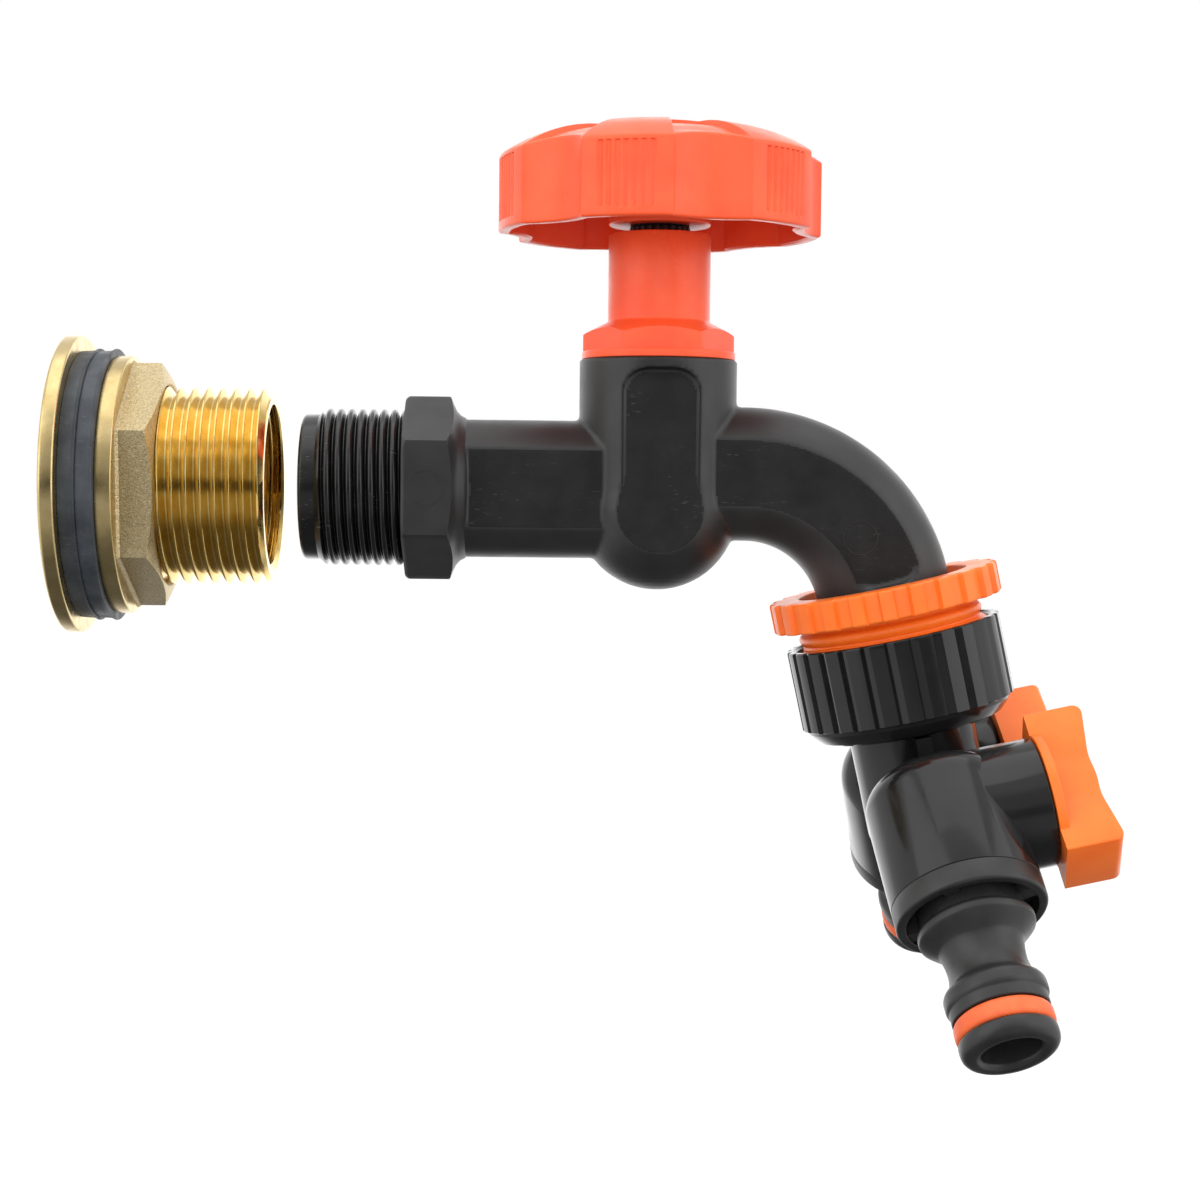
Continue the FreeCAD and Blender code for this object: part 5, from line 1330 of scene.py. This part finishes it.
@dataclass
class HoseNipple:
    """Click hose nipple at the end of a leg, with its orange ring."""

    side: Side
    reach: float = 41.8
    bore: float = 4.7
    tip_radius: float = 7.8
    groove_radius: float = 6.0
    groove_start: float = 3.1
    groove_end: float = 6.4
    band_radius: float = 7.75
    shoulder_radius: float = 8.15
    collar_low: float = 18.0
    collar_high: float = 14.3
    collar_radius: float = 12.25
    plug_radius: float = 8.95
    plug_end: float = 6.05
    slot_depth: float = 2.8
    slot_inner: float = 8.5
    slot_outer: float = 10.65
    bridges: int = 4
    bridge_angle: float = 16.0
    bridge_clock: float = 20.0
    ring_radius: float = 7.85
    ring_round: float = 0.95
    ring_play: float = 0.05

    def nipple(self) -> BMesh:
        """Return the nipple: tip, groove, band, shoulder, waist, bulb and slotted collar."""
        end, collar, bore, out = -self.reach, -self.collar_low, self.bore, self.collar_radius
        low, high, floor = end + self.groove_start, end + self.groove_end, collar + self.slot_depth
        inner, outer, tip, groove = self.slot_inner, self.slot_outer, self.tip_radius, self.groove_radius
        band, shoulder, plug = self.band_radius, self.shoulder_radius, self.plug_radius
        shell = turned([
            (bore, end + 0.75, 0.3), (bore + 0.75, end, 0.3), (tip, end, 1.75), (tip, low, 0.45),
            (groove, low), (groove, high), (band, high, 0.25), (band, end + 8.3, 0.2),
            (shoulder, end + 8.75, 0.4), (shoulder, end + 11.0, 0.7), (6.9, end + 11.9, 0.5),
            (6.35, end + 13.4, 1.2), (6.25, end + 16.6, 1.8), (6.9, end + 18.6, 1.6),
            (8.6, end + 20.1, 1.0), (9.4, end + 20.9, 0.5), (9.45, end + 22.0, 0.3), (8.9, end + 22.6, 0.2),
            (inner, end + 22.7), (inner, floor), (outer, floor), (outer, collar, 0.25), (out, collar, 0.55),
            (out, -self.collar_high, 0.18), (plug, -self.collar_high), (plug, -self.plug_end),
            (bore, -self.plug_end)], FINE_STEPS)
        part = FULL_TURN / self.bridges

        def bridged(radius: float, angle: float, height: float) -> Point:
            """Raise the slot's floor where a bridge crosses it."""
            off = abs((angle + part / 2 + math.radians(self.bridge_clock)) % part - part / 2)
            on_floor = abs(height - floor) < TOUCH and inner - TOUCH < radius < outer + TOUCH
            return radius, collar + 0.5 if on_floor and off < math.radians(self.bridge_angle / 2) else height

        return reshape(shell, bridged)

    def ring(self) -> BMesh:
        """Return the rubber ring in its groove."""
        inner, outer, play = self.groove_radius + self.ring_play, self.ring_radius, self.ring_play
        low, high = self.groove_start + play - self.reach, self.groove_end - play - self.reach
        return turned([
            (inner, low), (outer, low, self.ring_round), (outer, high, self.ring_round),
            (inner, high)], MOULD_STEPS)

    def build(self) -> None:
        """Make and dress the nipple and its ring."""
        word, place = self.side.word, LAYOUT.leg(self.side)
        settle("hose_nipple_moulding_" + word, self.nipple(), place, [MATT_BLACK], "splitter", "black_gloss",
               "hose_nipple_" + word, crease=34)
        settle("nipple_ring_" + word, self.ring(), place, [RING_ORANGE], "splitter", "rubber_orange",
               "nipple_oring_" + word)


@dataclass
class Lever:
    """Orange lever of a leg's valve: a round base with a waisted wing across it."""

    side: Side
    start: float = 16.4
    disc_radius: float = 10.9
    disc_thick: float = 1.6
    length: float = 26.0
    width: float = 12.8
    top: float = 9.6
    dip: float = 1.45
    dip_middle: float = 1.1
    waist: float = 0.8
    kink: float = 3.7
    end_round: float = 1.8
    kink_round: float = 1.2
    edge_round: float = 0.3

    def lever(self) -> BMesh:
        """Return the lever in its own frame: +Z away from the boss and X along the wing."""
        wing = slab((self.length, self.width, self.top), (0, 0, self.top / 2))
        for where in (-self.kink, 0.0, self.kink):
            bmesh.ops.bisect_plane(wing, geom=all_of(wing), plane_co=(where, 0, 0), plane_no=(1, 0, 0))
        for vert in wing.verts:
            if abs(vert.co.x) < self.kink + TOUCH:
                if vert.co.z > 1:
                    vert.co.z -= self.dip_middle if abs(vert.co.x) < TOUCH else self.dip
                vert.co.y -= math.copysign(self.waist, vert.co.y)
        half = self.length / 2
        ends = edges_where(wing, lambda a, b: abs(abs(a.x) - half) < TOUCH and abs(abs(b.x) - half) < TOUCH
                           and a.x * b.x > 0 and min(a.z, b.z) > 5)
        bevelled(wing, ends, self.end_round, 6)
        kinks = edges_where(wing, lambda a, b: min(a.z, b.z) > 5 and abs(a.y - b.y) > 2
                            and max(abs(a.x), abs(b.x)) < self.kink + TOUCH)
        bevelled(wing, kinks, self.kink_round, 4)
        sharp = [edge for edge in wing.edges if len(edge.link_faces) == 2 and edge.calc_face_angle() > 0.9
                 and max(vert.co.z for vert in edge.verts) > 0.5]
        bevelled(wing, sharp, self.edge_round, 3)
        disc = turned([
            (0, 0), (self.disc_radius, 0, 0.15), (self.disc_radius, self.disc_thick, 0.35),
            (0, self.disc_thick)], MOULD_STEPS)
        return carved(wing, disc, Joinery.JOIN)

    def build(self) -> None:
        """Make and dress the lever."""
        word = self.side.word
        place = LAYOUT.leg(self.side) @ shift(self.start) @ turn_about("Y", 90)
        settle("valve_lever_moulding_" + word, self.lever(), place, [FITTING_ORANGE], "lever_" + word,
               "orange_light", "valve_lever_" + word, crease=40)


@dataclass(frozen=True)
class InnerParts:
    """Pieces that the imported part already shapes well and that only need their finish."""

    finishes: tuple[tuple[str, Finish], ...] = (
        ("bonnet_seal", WASHER_RUBBER), ("spindle_oring", WASHER_RUBBER), ("jumper", MATT_BLACK),
        ("tap_washer", WASHER_RUBBER), ("washer_screw", SCREW_STEEL), ("adapter_washer", WASHER_RUBBER),
        ("union_washer", WASHER_RUBBER), ("upper_seat", SEAT_WHITE), ("lower_seat", SEAT_WHITE),
        ("valve_ball", GLOSS_BLACK), ("valve_stem", MATT_BLACK), ("stem_oring", WASHER_RUBBER))

    def build(self) -> None:
        """Dress every node whose name starts with one of the listed words."""
        for word, finish in self.finishes:
            for name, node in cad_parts.items():
                if name.startswith(word):
                    node.data.materials.clear()
                    node.data.materials.append(finish.material())
                    LOG.info("%s dressed as %s", name, finish.name)


# Studio

@dataclass(frozen=True)
class Lamp:
    """A soft rectangular lamp, in metres and watts, that glossy surfaces mirror or not."""

    name: str
    spot: Place
    size: Point
    power: float
    mirrored: bool = True


@dataclass
class Studio:
    """Pale floor, white surroundings, soft lamps and the camera."""

    floor_drop: float = 0.2
    floor_size: float = 6.0
    floor_grey: float = 0.33
    floor_glow: float = 0.66
    eye: Place = (0.0772, -0.3691, -0.0006)
    target: Place = (0.0872, 0.0, -0.0188)
    roll: float = 0.6
    lens: float = 65.0
    sensor: float = 36.0
    nearest: float = 0.01
    farthest: float = 20.0
    fill: float = 1.12
    lamps: tuple[Lamp, ...] = (Lamp("lamp_left", (-0.75, -0.50, 0.40), (1.0, 1.0), 2.7),
                               Lamp("lamp_right", (0.95, -0.45, 0.35), (1.0, 1.0), 2.5),
                               Lamp("lamp_top", (0.09, -0.05, 0.90), (1.2, 0.9), 3.0),
                               Lamp("lamp_front", (0.08, -1.0, 0.05), (0.9, 0.7), 3.5, False))

    def facing(self, spot: Place) -> Matrix:
        """Return the place of a camera or lamp that looks at the tap from a spot."""
        gaze = Vector(self.target) - Vector(spot)
        return shift(*spot) @ gaze.to_track_quat("-Z", "Y").to_matrix().to_4x4()

    def camera(self) -> None:
        """Place the camera at the photograph's angle."""
        data = bpy.data.cameras.new("camera")
        data.lens, data.sensor_width = self.lens, self.sensor
        data.clip_start, data.clip_end = self.nearest, self.farthest
        camera = in_scene("camera", data)
        camera.matrix_world = self.facing(self.eye) @ turn_about("Z", self.roll)
        bpy.context.scene.camera = camera

    def light(self, lamp: Lamp) -> None:
        """Add a lamp that faces the tap."""
        data = bpy.data.lights.new(lamp.name, "AREA")
        data.shape, data.energy = "RECTANGLE", lamp.power
        data.size, data.size_y = lamp.size
        thing = in_scene(lamp.name, data)
        thing.visible_glossy = lamp.mirrored
        thing.matrix_world = self.facing(lamp.spot)

    def floor(self) -> None:
        """Lay a pale floor that looks white and keeps a faint shadow."""
        shell = bmesh.new()
        bmesh.ops.create_grid(shell, x_segments=1, y_segments=1, size=self.floor_size)
        floor = as_object(shell, "floor")
        floor.location = (0, 0, -self.floor_drop)
        made = bpy.data.materials.new("pale_floor")
        wiring = Wiring.anew(made)
        rays = wiring.node("LightPath").outputs
        seen = wiring.sums("MAXIMUM", rays["Is Camera Ray"],
                           wiring.sums("MAXIMUM", rays["Is Glossy Ray"], rays["Is Transmission Ray"]))
        matt = wiring.node("BsdfDiffuse", {"Color": (*grey(self.floor_grey), 1)})
        glow = wiring.node("Emission", {"Color": WHITE,
                                        "Strength": wiring.sums("MULTIPLY", seen, self.floor_glow)})
        both = wiring.node("AddShader", {0: matt.outputs[0], 1: glow.outputs[0]})
        wiring.node("OutputMaterial", {"Surface": both.outputs[0]})
        floor.data.materials.append(made)
        floor.visible_glossy = False

    def mirrored(self, wiring: Wiring) -> Socket:
        """Return how bright a mirrored direction is: lit behind and at the sides, dim in front."""
        parts = wiring.node("SeparateXYZ", {0: wiring.node("TexCoord").outputs["Generated"]}).outputs

        def soft(*band: object) -> Socket:
            """Rise smoothly from one brightness to another between two values."""
            return wiring.ramp(*band, kind="SMOOTHSTEP")

        across, upright = (wiring.sums("ABSOLUTE", parts[axis]) for axis in "XZ")
        front = soft(upright, 0.06, 0.20, 0.08, 0.45)
        sides = soft(across, 0.45, 0.75, 0.0, 0.95)
        above = soft(parts["Z"], 0.35, 0.70, 0.0, 0.9)
        behind = wiring.sums("MULTIPLY", soft(parts["Y"], 0.35, 0.85, 0.0, 1.7),
                             soft(upright, 0.75, 0.35, 0.3, 1.0))
        lit = wiring.sums("MAXIMUM", wiring.sums("MAXIMUM", front, sides),
                          wiring.sums("MAXIMUM", above, behind))
        return wiring.sums("MULTIPLY", lit, soft(parts["Z"], -0.85, -0.45, 0.30, 1.0))

    def surroundings(self) -> None:
        """Make the world white where seen, a studio where mirrored and an even fill elsewhere."""
        world = bpy.context.scene.world = bpy.data.worlds.new("studio")
        wiring = Wiring.anew(world)
        rays = wiring.node("LightPath").outputs
        seen = wiring.sums("MAXIMUM", rays["Is Camera Ray"], rays["Is Transmission Ray"])
        plain, white, room = (wiring.node("Background", {"Color": WHITE, "Strength": strength}).outputs[0]
                              for strength in (self.fill, 1.0, self.mirrored(wiring)))
        lit = wiring.node("MixShader", {0: rays["Is Glossy Ray"], 1: plain, 2: room}).outputs[0]
        mixed = wiring.node("MixShader", {0: seen, 1: lit, 2: white}).outputs[0]
        wiring.node("OutputWorld", {"Surface": mixed})

    def build(self) -> None:
        """Set up the studio."""
        self.surroundings()
        self.floor()
        for lamp in self.lamps:
            self.light(lamp)
        self.camera()
        bpy.context.scene.view_settings.view_transform = "Standard"


def main() -> None:
    """Build the tap and its studio, and log each piece's face count."""
    logging.basicConfig(level=logging.INFO, format="%(name)s %(message)s")
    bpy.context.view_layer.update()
    for assembly in (TankConnector(), TapBody(), Headwork(), Union(), Splitter(), InnerParts()):
        assembly.build()
    for side in Side:
        HoseNipple(side).build()
        Lever(side).build()
    Studio().build()


if __name__ == "__main__":
    main()
